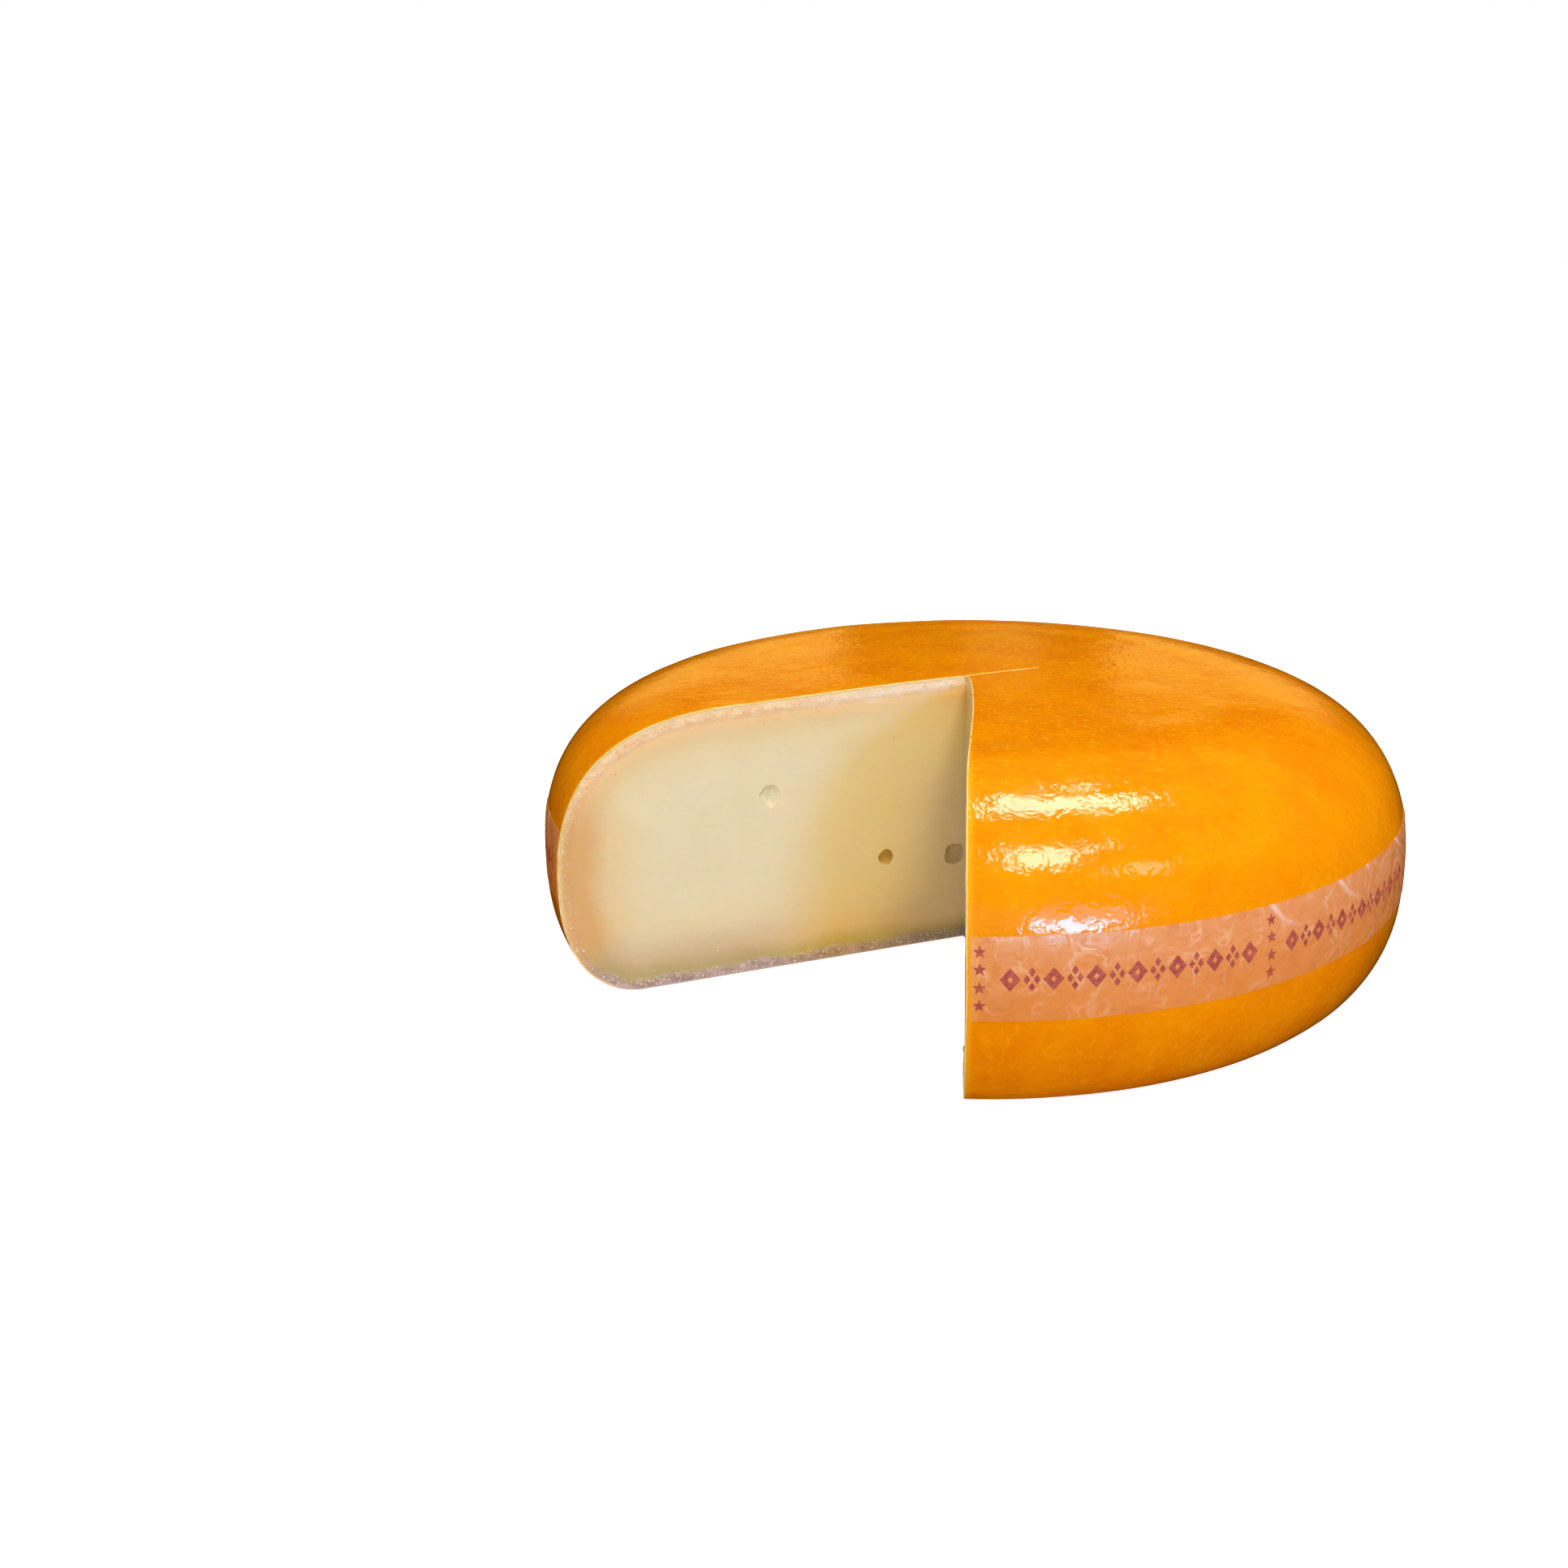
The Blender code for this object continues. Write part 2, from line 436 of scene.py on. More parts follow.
coatFinish = {
    "bright": linear(248, 147, 2),
    "deep": linear(241, 134, 2),
    "mottleSize": 0.022,
    "golden": linear(252, 160, 3),
    "goldenBelt": (0.060, 0.074, 0.090, 0.102),   # heights, strongest between the middle two
    "goldenShare": 0.35,
    "pale": linear(255, 172, 24),
    "dark": linear(222, 112, 0),
    "speckSize": 0.0026,
    "speckShares": (0.30, 0.60),       # how clearly specks show on the sides and on top
    # painted light: lighter wax near the cut, as if light came in through the cut edge
    "thin": linear(253, 178, 26),      # where the cut lets light in
    "thinReach": 0.0030,
    "flatTop": (0.1090, 0.1150),       # heights between which the side turns into the top
    "calmShare": 0.30,                 # the top has this much of the sides' relief
    "roughness": (0.05, 0.13),
    "glossSize": 0.012,
    "specular": 0.5,
    "scatter": (0.12, (1.0, 0.35, 0.05), 0.0025),
    "waveSize": 0.026,
    "waveDepth": 0.00050,
    "dimpleSize": 0.0070,
    "dimpleDepth": 0.00024,
    "creaseSize": 0.0080,              # thin ridges in the wax
    "creaseWidth": 0.10,               # as a share of the noise's range
    "creaseDepth": 0.000030,
    "grainSize": 0.0036,               # only on top
    "grainDepth": 0.000120,
    "pitSize": 0.0016,                 # fine orange peel all over
    "pitDepth": 0.000040,
}


def coatMaterial():
    finish = coatFinish
    material, tree, place = newMaterial("glossyCheeseCoat")
    height = readHeight(tree, place)
    onTop = finish["flatTop"]
    mottle = tree.noise(place, finish["mottleSize"], 4.0, 0.6)
    colour = tree.mix(tree.spread(mottle, 0.34, 0.66), finish["deep"], finish["bright"])
    belt = tree.between(height, *finish["goldenBelt"], finish["goldenShare"])
    colour = tree.mix(belt, colour, finish["golden"])
    speck = tree.noise(place, finish["speckSize"], 2.0, 0.6)
    shown = tree.spread(height, *onTop, *finish["speckShares"])
    paleSpeck = tree.times(tree.spread(speck, 0.55, 0.68), shown)
    darkSpeck = tree.times(tree.spread(speck, 0.42, 0.28, 0.0, 0.6), shown)
    colour = tree.mix(paleSpeck, colour, finish["pale"])
    colour = tree.mix(darkSpeck, colour, finish["dark"])
    # painted light coming in through the cut edge
    nearCut = tree.spread(readNumber(tree, "cutDistance"), 0.0, finish["thinReach"], 0.8, 0.0)
    colour = tree.mix(nearCut, colour, finish["thin"])
    rough = tree.spread(height, *onTop, 1.0, finish["calmShare"])
    wave = tree.noise(place, finish["waveSize"], 1.0)
    relief = tree.bump(tree.times(wave, rough), finish["waveDepth"])
    dimple = tree.noise(place, finish["dimpleSize"], 3.0, 0.55, 0.6)
    relief = tree.bump(tree.times(dimple, rough), finish["dimpleDepth"], relief)
    crease = tree.ridges(tree.noise(place, finish["creaseSize"], 2.0, 0.5, 0.6), finish["creaseWidth"])
    relief = tree.bump(tree.times(crease, rough), finish["creaseDepth"], relief)
    grain = tree.times(tree.noise(place, finish["grainSize"], 2.0, 0.6), tree.spread(height, *onTop))
    relief = tree.bump(grain, finish["grainDepth"], relief)
    relief = tree.bump(tree.noise(place, finish["pitSize"], 1.0), finish["pitDepth"], relief)
    gloss = tree.noise(place, finish["glossSize"], 3.0, 0.6)
    return finishMaterial(material, tree, finish, colour, gloss, relief)


# The paste, with the rind as far as its depth below the surface says

pasteFinish = {
    "heart": linear(237, 222, 172),
    "middle": linear(238, 218, 162),
    "underRind": linear(236, 208, 146),
    "topPeach": linear(245, 205, 140),
    "topRind": linear(255, 224, 168),
    "topStain": linear(248, 202, 142),
    "topMark": linear(208, 168, 112),
    "paleCrown": linear(255, 240, 210),
    "sideRind": linear(228, 178, 110),
    "baseOlive": linear(204, 184, 98),
    "baseRind": linear(202, 175, 154),
    "baseStain": linear(172, 143, 121),
    # painted shade: grey crust and foot towards the shaded inner corner
    "baseCornerShade": linear(150, 150, 162),
    # painted shade: the paste is greyer where the inner corner lies in shade
    "cornerShade": linear(230, 217, 190),     # the paste by the inner edge is greyer
    "fleck": linear(255, 236, 206),
    # the coat's cut edge, also painted as a glow into the rind
    "cutCoat": linear(255, 222, 150),
    "fullDepth": 0.040,
    # how far down each zone lies, as a share of the full depth
    "topZones": ((0.14, "topPeach"), (0.27, "underRind"), (0.42, "middle"), (0.70, "heart")),
    # the side zones reach deeper than the rind itself: partly real rind, partly painted shade near the side
    "sideRindAndShadeZones": ((0.26, "sideRind"), (0.50, "underRind"), (0.76, "middle"), (1.0, "heart")),
    "baseZones": ((0.14, "baseOlive"), (0.32, "underRind"), (0.55, "middle"), (1.0, "heart")),
    # radii between which a tint fades, and its share at the first and the second
    "crownFade": (0.030, 0.100, 0.55, 0.0),
    "skinCornerShadeFade": (0.010, 0.065, 0.85, 0.0),
    "lowCornerShadeFade": (0.010, 0.065, 0.3, 0.0),
    "stainFade": (0.060, 0.110, 0.0, 0.35),
    "cornerShadeFade": (0.004, 0.040, 0.9, 0.0),
    "raggedSize": 0.0028,
    "raggedDrift": 0.0008,
    "broadSize": 0.018,
    "broadDrift": 0.0014,
    "stainSize": 0.0042,
    "markSize": 0.0030,
    "fleckSize": 0.0014,
    "cloudSize": 0.014,
    "cloud": (0.985, 0.98, 0.965, 1.0),
    "roughness": (0.46, 0.58),
    "specular": 0.22,
    "scatter": (0.35, (1.0, 0.62, 0.25), 0.0050),
    "grainSize": 0.0016,
    "grainDepth": 0.00005,
    "crumbleDepth": 0.0008,
}


def pasteMaterial():
    finish = pasteFinish
    material, tree, place = newMaterial("cutCheesePaste")
    depth = readNumber(tree, "rindDepth")
    facing = readNumber(tree, "rindFacing")       # 1 below the top, 0 at the side, -1 above the base
    radius = readRadius(tree, place)
    height = readHeight(tree, place)
    ragged = tree.noise(place, finish["raggedSize"], 3.0, 0.6)
    broad = tree.noise(place, finish["broadSize"], 2.0)
    shifted = tree.drift(depth, ragged, 0.25, 0.75, finish["raggedDrift"])
    drifted = tree.drift(shifted, broad, 0.3, 0.7, finish["broadDrift"])
    share = tree.spread(drifted, 0.0, finish["fullDepth"], 0.0, 1.0, False)
    zones = []
    for name in ("topZones", "sideRindAndShadeZones", "baseZones"):
        zones.append(tree.ramp(share, [(stop, finish[tone]) for stop, tone in finish[name]]))
    top, side, base = zones
    # the mottled skin over the zones
    stain = tree.spread(tree.noise(place, finish["stainSize"], 4.0, 0.6), 0.36, 0.66)
    mark = tree.noise(place, finish["markSize"], 2.0, 0.6)
    topSkin = tree.mix(stain, finish["topRind"], finish["topStain"])
    topSkin = tree.mix(tree.spread(mark, 0.66, 0.74, 0.0, 0.8), topSkin, finish["topMark"])
    topSkin = tree.mix(tree.spread(radius, *finish["crownFade"]), topSkin, finish["paleCrown"])
    top = tree.mix(tree.spread(share, 0.06, 0.20, 1.0, 0.0), top, topSkin)
    baseSkin = tree.mix(stain, finish["baseRind"], finish["baseStain"])
    # painted shade: the crust and the olive paste above it turn grey towards the inner corner
    baseSkin = tree.mix(tree.spread(radius, *finish["skinCornerShadeFade"]), baseSkin, finish["baseCornerShade"])
    low = tree.spread(share, 0.8, 0.2)
    base = tree.mix(tree.times(tree.spread(radius, *finish["lowCornerShadeFade"]), low), base, finish["baseCornerShade"])
    base = tree.mix(tree.times(tree.spread(radius, *finish["stainFade"]), low), base, finish["baseStain"])
    base = tree.mix(tree.spread(share, 0.04, 0.16, 1.0, 0.0), base, baseSkin)
    colour = tree.mix(tree.spread(facing, 0.15, 0.75), side, top)
    colour = tree.mix(tree.spread(facing, -0.30, -0.85), colour, base)
    # painted shade: greyer paste near the shaded inner corner, fading out above 60 mm and at the base
    cornerShade = tree.times(tree.spread(radius, *finish["cornerShadeFade"]), tree.spread(height, 0.095, 0.060))
    colour = tree.mix(tree.times(cornerShade, tree.spread(height, 0.004, 0.012)), colour, finish["cornerShade"])
    # pale flecks in the rind
    speck = tree.noise(place, finish["fleckSize"], 2.0, 0.7)
    inRind = tree.spread(shifted, 0.0034, 0.0062, 1.0, 0.0)
    flecks = tree.times(tree.spread(speck, 0.58, 0.70), inRind)
    colour = tree.mix(tree.times(flecks, 0.6), colour, finish["fleck"])
    # the cut edge of the coat itself, and a painted glow from it that spreads a little into the rind
    wax = tree.spread(depth, 0.0005, 0.0010, 1.0, 0.0)
    edge = tree.math("MAXIMUM", wax, tree.spread(depth, 0.0, 0.0030, 0.8, 0.0))
    colour = tree.mix(tree.times(edge, tree.spread(facing, -0.6, 0.0)), colour, finish["cutCoat"])
    cloud = tree.noise(place, finish["cloudSize"], 3.0, 0.5)
    cloudy = tree.ramp(tree.vary(cloud), [(0.0, finish["cloud"]), (1.0, (1.0, 1.0, 1.0, 1.0))])
    colour = tree.mix(1.0, colour, cloudy, "MULTIPLY")
    relief = tree.bump(tree.noise(place, finish["grainSize"], 3.0, 0.6), finish["grainDepth"])
    relief = tree.bump(tree.times(ragged, inRind), finish["crumbleDepth"], relief)
    return finishMaterial(material, tree, finish, colour, cloud, relief)


eyeFinish = {
    # painted shade: a gas hole's wall is darker and more golden than the paste, for the dim light inside the
    # hole
    "hollow": linear(214, 176, 88),
    "light": linear(224, 190, 112),
    "cornerShade": linear(212, 196, 168),
    "cornerShadeFade": (0.006, 0.026, 0.9, 0.0),
    "cloudSize": 0.0022,
    "roughness": (0.30, 0.45),
    "specular": 0.3,
    "scatter": (0.25, (1.0, 0.6, 0.2), 0.003),
    "depth": 0.00012,
}


def eyeMaterial():
    finish = eyeFinish
    material, tree, place = newMaterial("gasHoleShadedWall")
    cloud = tree.noise(place, finish["cloudSize"], 3.0, 0.6)
    colour = tree.mix(tree.vary(cloud), finish["hollow"], finish["light"])
    # painted shade: greyer near the shaded inner corner
    nearCornerShade = tree.spread(readRadius(tree, place), *finish["cornerShadeFade"])
    colour = tree.mix(nearCornerShade, colour, finish["cornerShade"])
    return finishMaterial(material, tree, finish, colour, cloud, tree.bump(cloud, finish["depth"]))


# The wheel and what is cut out of it

def turnedWheel(coat):
    outline = wheelOutline(wheelForm["topRow"], wheelForm["sideRow"], wheelForm["baseRow"])
    deselectAll()
    bpy.ops.mesh.primitive_circle_add(vertices=len(outline), radius=wheelForm["radius"], fill_type="NOTHING")
    wheel = nameNew("wheel")
    for corner, (radius, height) in zip(wheel.data.vertices, outline):
        corner.co = (radius, 0.0, height)
    wheel.data.materials.append(coat)
    bpy.ops.object.mode_set(mode="EDIT")
    bpy.ops.mesh.select_mode(type="EDGE")
    shape = bmesh.from_edit_mesh(wheel.data)
    for edge in shape.edges:
        edge.select_set(max(corner.co.x for corner in edge.verts) < tiny)
    bmesh.update_edit_mesh(wheel.data)
    bpy.ops.mesh.delete(type="EDGE")
    bpy.ops.mesh.select_mode(type="VERT")
    bpy.ops.mesh.select_all(action="SELECT")
    bpy.ops.mesh.spin(
        steps=wheelForm["turnSteps"], angle=math.tau, center=(0.0, 0.0, 0.0), axis=(0.0, 0.0, 1.0)
    )
    bpy.ops.mesh.select_all(action="SELECT")
    bpy.ops.mesh.remove_doubles(threshold=tiny)
    bpy.ops.mesh.normals_make_consistent(inside=False)
    bpy.ops.object.mode_set(mode="OBJECT")
    places = [corner.co + corner.normal * coatLift(corner.co) for corner in wheel.data.vertices]
    for corner, place in zip(wheel.data.vertices, places):
        corner.co = place
    return wheel


def sliceCutter(paste):
    # a block moved to the slice's four sides, its two cut sides fine enough for relief
    form = sliceForm
    deselectAll()
    bpy.ops.mesh.primitive_cube_add(size=1.0)
    cutter = nameNew("sliceCutter")
    cutter.data.materials.append(paste)
    right, left = cutSides["right"], cutSides["left"]
    between = (right["along"] + left["along"]).normalized()
    for corner in cutter.data.vertices:
        if corner.co.x > 0.0 and corner.co.y > 0.0:
            flat = form["apex"].copy()
        elif corner.co.x > 0.0:
            flat = form["apex"] + right["along"] * form["reach"]
        elif corner.co.y > 0.0:
            flat = form["apex"] + left["along"] * form["reach"]
        else:
            flat = form["apex"] + between * form["farReach"]
        flat.z = wheelForm["height"] + form["overrun"] if corner.co.z > 0.0 else -form["overrun"]
        corner.co = flat
    bpy.ops.object.mode_set(mode="EDIT")
    bpy.ops.mesh.select_all(action="DESELECT")
    bpy.ops.mesh.select_mode(type="FACE")
    outward = [-right["facing"], -left["facing"]]
    selectFaces(cutter, lambda face: max(face.normal.dot(way) for way in outward) > 0.98)
    for cuts in form["cuts"]:
        bpy.ops.mesh.subdivide(number_cuts=cuts)
    bpy.ops.object.mode_set(mode="OBJECT")
    for corner in cutter.data.vertices:
        fromApex = corner.co - form["apex"]
        for side, way in cutSides.items():
            distance = fromApex.dot(way["along"])
            if abs(fromApex.dot(way["facing"])) < tiny < distance:
                corner.co = cutSpot(side, distance, corner.co.z)
    return cutter


def carve(piece, cutter):
    boolean = piece.modifiers.new("carve", "BOOLEAN")
    boolean.operation = "DIFFERENCE"
    boolean.solver = "EXACT"
    boolean.material_mode = "TRANSFER"
    boolean.object = cutter
    applyModifier(piece, boolean)
    bpy.data.objects.remove(cutter)
    sortParts(piece)


def sortParts(piece):
    # the solver gives points and faces in another order each run, so they are put in one order
    slant = Vector((0.731, 0.437, 0.523))     # along no axis, so that few places tie
    shape = bmesh.new()
    shape.from_mesh(piece.data)
    shape.verts.sort(key=lambda corner: corner.co.dot(slant))
    shape.edges.sort(key=lambda edge: (edge.verts[0].co + edge.verts[1].co).dot(slant))
    shape.faces.sort(key=lambda face: face.calc_center_median().dot(slant))
    shape.to_mesh(piece.data)
    shape.free()


# Gas holes and pits: distance from the inner edge, height and hole radius
# A hole has two more: how far its centre lies behind the face, and how square it is (below 0, upright)
# A slit has its half length and its lean in degrees

hollowForms = {
    "leftEyes": (
        (0.0885, 0.0763, 0.0048, -0.0038, 0.035),
        (0.0369, 0.0422, 0.0033, 0.0010, 0.035),
        (0.0047, 0.0392, 0.0047, 0.0002, -0.055),
    ),
    "rightEyes": (
        (0.0180, 0.0306, 0.0034, 0.0012, 0.035),
        (0.0856, 0.0456, 0.0048, -0.0022, 0.035),
        (0.1535, 0.0472, 0.0020, 0.0002, 0.035),
    ),
    "leftPits": (
        (0.1113, 0.1123, 0.0006),
        (0.0907, 0.1079, 0.0005),
        (0.1534, 0.0935, 0.0006),
        (0.0334, 0.0944, 0.0005),
    ),
    "rightPits": (
        (0.0407, 0.0597, 0.0008),
        (0.1126, 0.1047, 0.0008),
        (0.0640, 0.0880, 0.0006),
    ),
    "rightSlits": (
        (0.0773, 0.0136, 0.0025, 70.0),
        (0.1477, 0.0196, 0.0018, 20.0),
        (0.1440, 0.0160, 0.0015, 120.0),
    ),
    # as shares of a slit's half length
    "slitWidth": 0.16,
    "slitBend": 0.1,
    "slitDepth": 0.5,
}


def newBall(name, steps, radius, lining):
    deselectAll()
    bpy.ops.mesh.primitive_ico_sphere_add(subdivisions=steps, radius=radius)
    ball = nameNew(name)
    ball.data.materials.append(lining)
    return ball


def hollowBall(side, distance, height, radius, behind, squareness, steps, roughness, lining):
    ball = newBall("hollow", steps, math.hypot(radius, behind), lining)
    middle = cutSpot(side, distance, height, behind)
    for corner in ball.data.vertices:
        way = corner.co.normalized()
        turn = math.atan2(way.z, way.dot(cutSides[side]["along"]))
        square = squareness * math.cos(4.0 * turn)
        # a broad unevenness and a finer one, another for each hole
        uneven = noise.noise(way * 1.7 + middle * 90.0) + 0.4 * noise.noise(way * 4.0 + middle * 50.0)
        corner.co = middle + corner.co * (1.0 + square + roughness * uneven)
    return ball


def slitBall(side, distance, height, length, lean, lining):
    ball = newBall("slit", 3, 1.0, lining)
    middle = cutSpot(side, distance, height)
    turn = math.radians(lean)
    along = cutSides[side]["along"] * math.cos(turn) + Vector((0.0, 0.0, math.sin(turn)))
    across = cutSides[side]["along"] * -math.sin(turn) + Vector((0.0, 0.0, math.cos(turn)))
    facing = cutSides[side]["facing"]
    for corner in ball.data.vertices:
        x, y, z = corner.co
        sideways = y * hollowForms["slitWidth"] + x * x * hollowForms["slitBend"]
        corner.co = middle + along * (x * length) + across * (sideways * length)
        corner.co += facing * (z * hollowForms["slitDepth"] * length)
    return ball


def hollowCutter(paste, lining):
    balls = []
    for side in ("left", "right"):
        for eye in hollowForms[side + "Eyes"]:
            # a deep hole gets the lining with its painted shade
            wall = paste if eye[3] < 0.0 else lining      # a shallow hole shows plain paste
            balls.append(hollowBall(side, *eye, steps=4, roughness=0.12, lining=wall))
        for pit in hollowForms[side + "Pits"]:
            balls.append(hollowBall(side, *pit, 0.0, 0.0, steps=2, roughness=0.5, lining=paste))
    for slit in hollowForms["rightSlits"]:
        balls.append(slitBall("right", *slit, lining))
    return joinPieces(balls, "hollowCutter")


# The knife's overrun, a fine score in the top beyond the inner edge

scoreForm = {
    "length": 0.036,
    "start": -0.0008,
    "width": 0.0006,
    "depth": 0.0016,
    "taper": (0.94, 0.12, 1.0),
    "lipRadius": 0.00020,
    "lipSide": 0.00036,      # the pushed-up wax lies along the far edge
    "lipUneven": 0.0022,
}


def scoreCutter(paste):
    form = scoreForm
    along = -cutSides["left"]["along"]
    deselectAll()
    bpy.ops.mesh.primitive_cube_add(size=1.0)
    blade = nameNew("scoreCutter")
    blade.data.materials.append(paste)
    bpy.ops.object.mode_set(mode="EDIT")
    bpy.ops.mesh.select_mode(type="FACE")
    selectFaces(blade, lambda face: face.normal.z < -0.9)
    bpy.ops.transform.resize(value=form["taper"])
    bpy.ops.object.mode_set(mode="OBJECT")
    blade.scale = (form["length"], form["width"], 2.0 * form["depth"])
    blade.rotation_euler.z = math.atan2(along.y, along.x)
    blade.location = sliceForm["apex"] + along * (form["start"] + form["length"] / 2.0)
    blade.location.z = wheelForm["height"]
    setPlace(blade)
    return blade


def markSurface(wheel):
    # how deep each point lies below the outline, which way the outline faces there, and how near a cut is
    outline, tree = outlineSearch(wheelForm["searchRow"])
    facings = []
    for number in range(len(outline)):
        before = outline[max(number - 1, 0)]
        after = outline[min(number + 1, len(outline) - 1)]
        facings.append((after[0] - before[0]) / math.dist(before, after))
    depths, turns, nears = [], [], []
    for corner in wheel.data.vertices:
        place = corner.co
        number, depth = tree.find((math.hypot(place.x, place.y), 0.0, place.z))[1:]
        depths.append(depth)
        turns.append(facings[number])
        nears.append(cutNearness(place))
    addField(wheel, "rindDepth", depths)
    addField(wheel, "rindFacing", turns)
    addField(wheel, "cutDistance", nears)


def cutNearness(place):
    nearest = 1.0
    fromApex = place - sliceForm["apex"]
    for way in cutSides.values():
        if fromApex.dot(way["along"]) > 0.0:
            nearest = min(nearest, abs(fromApex.dot(way["facing"])))
    return nearest


coat = coatMaterial()
paste = pasteMaterial()
lining = eyeMaterial()
wheel = turnedWheel(coat)
print("wheel turned:", len(wheel.data.polygons), "faces")
carve(wheel, sliceCutter(paste))
print("slice cut out:", len(wheel.data.polygons), "faces")
carve(wheel, hollowCutter(paste, lining))
carve(wheel, scoreCutter(paste))
markSurface(wheel)
smoothByAngle(wheel, 38.0)
print("gas holes and score cut:", len(wheel.data.polygons), "faces")


# The rounded lip of coat along the edges of the cut

lipForm = {
    "radius": 0.00036,
    "inset": 0.00028,
    "spacing": 0.0008,
    "aim": 0.060,            # the lip is sunk towards a ring this far inside the cheese
    "edgeTones": (linear(254, 204, 104), linear(255, 226, 166)),
    "scoreTones": (linear(246, 176, 34), linear(250, 192, 66)),
    "toneSize": 0.006,
    "base": linear(196, 176, 158),
    "baseFade": (0.0010, 0.0060, 1.0, 0.0),
    "roughness": (0.25, 0.40),
    "specular": 0.3,
    "scatter": (0.3, (1.0, 0.6, 0.15), 0.0015),
    "pitSize": 0.0016,
    "pitDepth": 0.00008,
}


def lipMaterial(tones):
    finish = lipForm
    material, tree, place = newMaterial("cutCoatLip")
    tone = tree.noise(place, finish["toneSize"], 3.0, 0.6)
    colour = tree.mix(tree.vary(tone), *tones)
    colour = tree.mix(tree.spread(readHeight(tree, place), *finish["baseFade"]), colour, finish["base"])
    relief = tree.bump(tree.noise(place, finish["pitSize"]), finish["pitDepth"])
    return finishMaterial(material, tree, finish, colour, tone, relief)


def sortLoops(piece):
    # the same points and edges, in an order that their places alone decide
    corners = piece.data.vertices
    order = sorted(range(len(corners)), key=lambda number: tuple(corners[number].co))
    ranks = {number: rank for rank, number in enumerate(order)}
    places = [corners[number].co.copy() for number in order]
    edges = sorted(sorted(ranks[number] for number in edge.vertices) for edge in piece.data.edges)
    piece.data.clear_geometry()
    piece.data.from_pydata(places, edges, [])


def coatLip(wheel):
    form = lipForm
    twin = copyPiece(wheel)
    pick(twin)
    bpy.ops.object.mode_set(mode="EDIT")
    bpy.ops.mesh.select_mode(type="FACE")
    selectFaces(twin, lambda face: face.material_index == 0)
    bpy.ops.mesh.region_to_loop()
    bpy.ops.mesh.duplicate()
    bpy.ops.mesh.separate(type="SELECTED")
    bpy.ops.object.mode_set(mode="OBJECT")
    edge = [piece for piece in bpy.context.selected_objects if piece != twin][0]
    bpy.data.objects.remove(twin)
    pick(edge)
    nameNew("coatLip")
    sortLoops(edge)
    bpy.ops.object.mode_set(mode="EDIT")
    bpy.ops.mesh.select_all(action="SELECT")
    bpy.ops.mesh.remove_doubles(threshold=form["spacing"])
    bpy.ops.object.mode_set(mode="OBJECT")
    for corner in edge.data.vertices:
        share = max(1.0 - form["aim"] / math.hypot(corner.co.x, corner.co.y), 0.0)
        inner = Vector((corner.co.x * share, corner.co.y * share, wheelForm["girthHeight"]))
        corner.co += (inner - corner.co).normalized() * form["inset"]
        corner.co.z = max(corner.co.z, form["radius"])
    bpy.ops.object.convert(target="CURVE")
    edge = bpy.context.object
    edge.data.bevel_depth = form["radius"]
    edge.data.bevel_resolution = 1
    bpy.ops.object.convert(target="MESH")
    edge = nameNew("coatLip")
    edge.data.materials.clear()
    edge.data.materials.append(lipMaterial(form["edgeTones"]))
    return edge


def scoreLip():
    # a thin tapered ridge of wax along the score, sunk into the top
    form = scoreForm
    along = -cutSides["left"]["along"]
    aside = Vector((-along.y, along.x, 0.0))
    deselectAll()
    bpy.ops.mesh.primitive_uv_sphere_add(segments=48, ring_count=8, radius=1.0)
    ridge = nameNew("scoreLip")
    for corner in ridge.data.vertices:
        x, y, z = corner.co
        distance = form["start"] + form["length"] * (x + 1.0) / 2.0
        flat = sliceForm["apex"] + along * distance + aside * (form["lipSide"] + y * form["lipRadius"])
        spot = Vector((flat.x, flat.y, crownHeight(math.hypot(flat.x, flat.y))))
        uneven = 1.0 + 0.5 * noise.noise(spot / form["lipUneven"])
        corner.co = spot + Vector((0.0, 0.0, coatLift(spot) + z * form["lipRadius"] * uneven))
    ridge.data.materials.append(lipMaterial(lipForm["scoreTones"]))
    return ridge


lip = joinPieces([coatLip(wheel), scoreLip()], "coatLip")
smoothByAngle(lip, 60.0)
print("coat lip:", len(lip.data.polygons), "faces")


# The paper band, modelled flat (x along the girth, y up, z outwards) and then laid round the side

bandForm = {
    "low": round(bandFoot.z, 4),
    "high": round(bandTop.z, 4),
    "start": math.radians(0.35),
    "end": math.radians(296.1),
    "cell": 0.0010,
    "proud": 0.00010,
    "thickness": 0.00030,
    "edgeWander": 0.00025,
    "edgeWanderSize": 0.016,
    "wrinkle": 0.00007,
    "wrinkleSize": (0.0050, 0.0075),   # along the band and across it
    "creaseHeight": 0.00034,
    "creaseWidth": 0.0011,
    "creaseTaper": (1.25, 0.75),       # how wide a crease starts, and how much it narrows
    "creaseFade": 0.65,
    "creaseReach": 0.025,              # no crease runs further along the band
}

# Darts of folded paper: azimuth in degrees and height in millimetres along each one
creaseLines = (
    ((35.69, 72.7), (37.24, 66.9), (38.10, 65.2), (40.20, 62.5)),
    ((47.75, 72.7), (49.92, 65.9), (52.01, 62.9)),
    ((54.69, 72.6), (55.13, 68.6)),
    ((65.50, 72.7), (68.30, 66.1)),
)

# The same kinds again round the hidden side, in the same units
hiddenCreases = {
    "first": 78.0,
    "last": 292.0,
    "top": 72.7,
    "drop": (4.0, 11.0),
    "lean": (1.0, 4.2),
    "gap": (6.0, 17.0),
    "knee": (0.45, 0.65),              # where one bends, as shares of its lean and its drop
    "seed": 11,
}


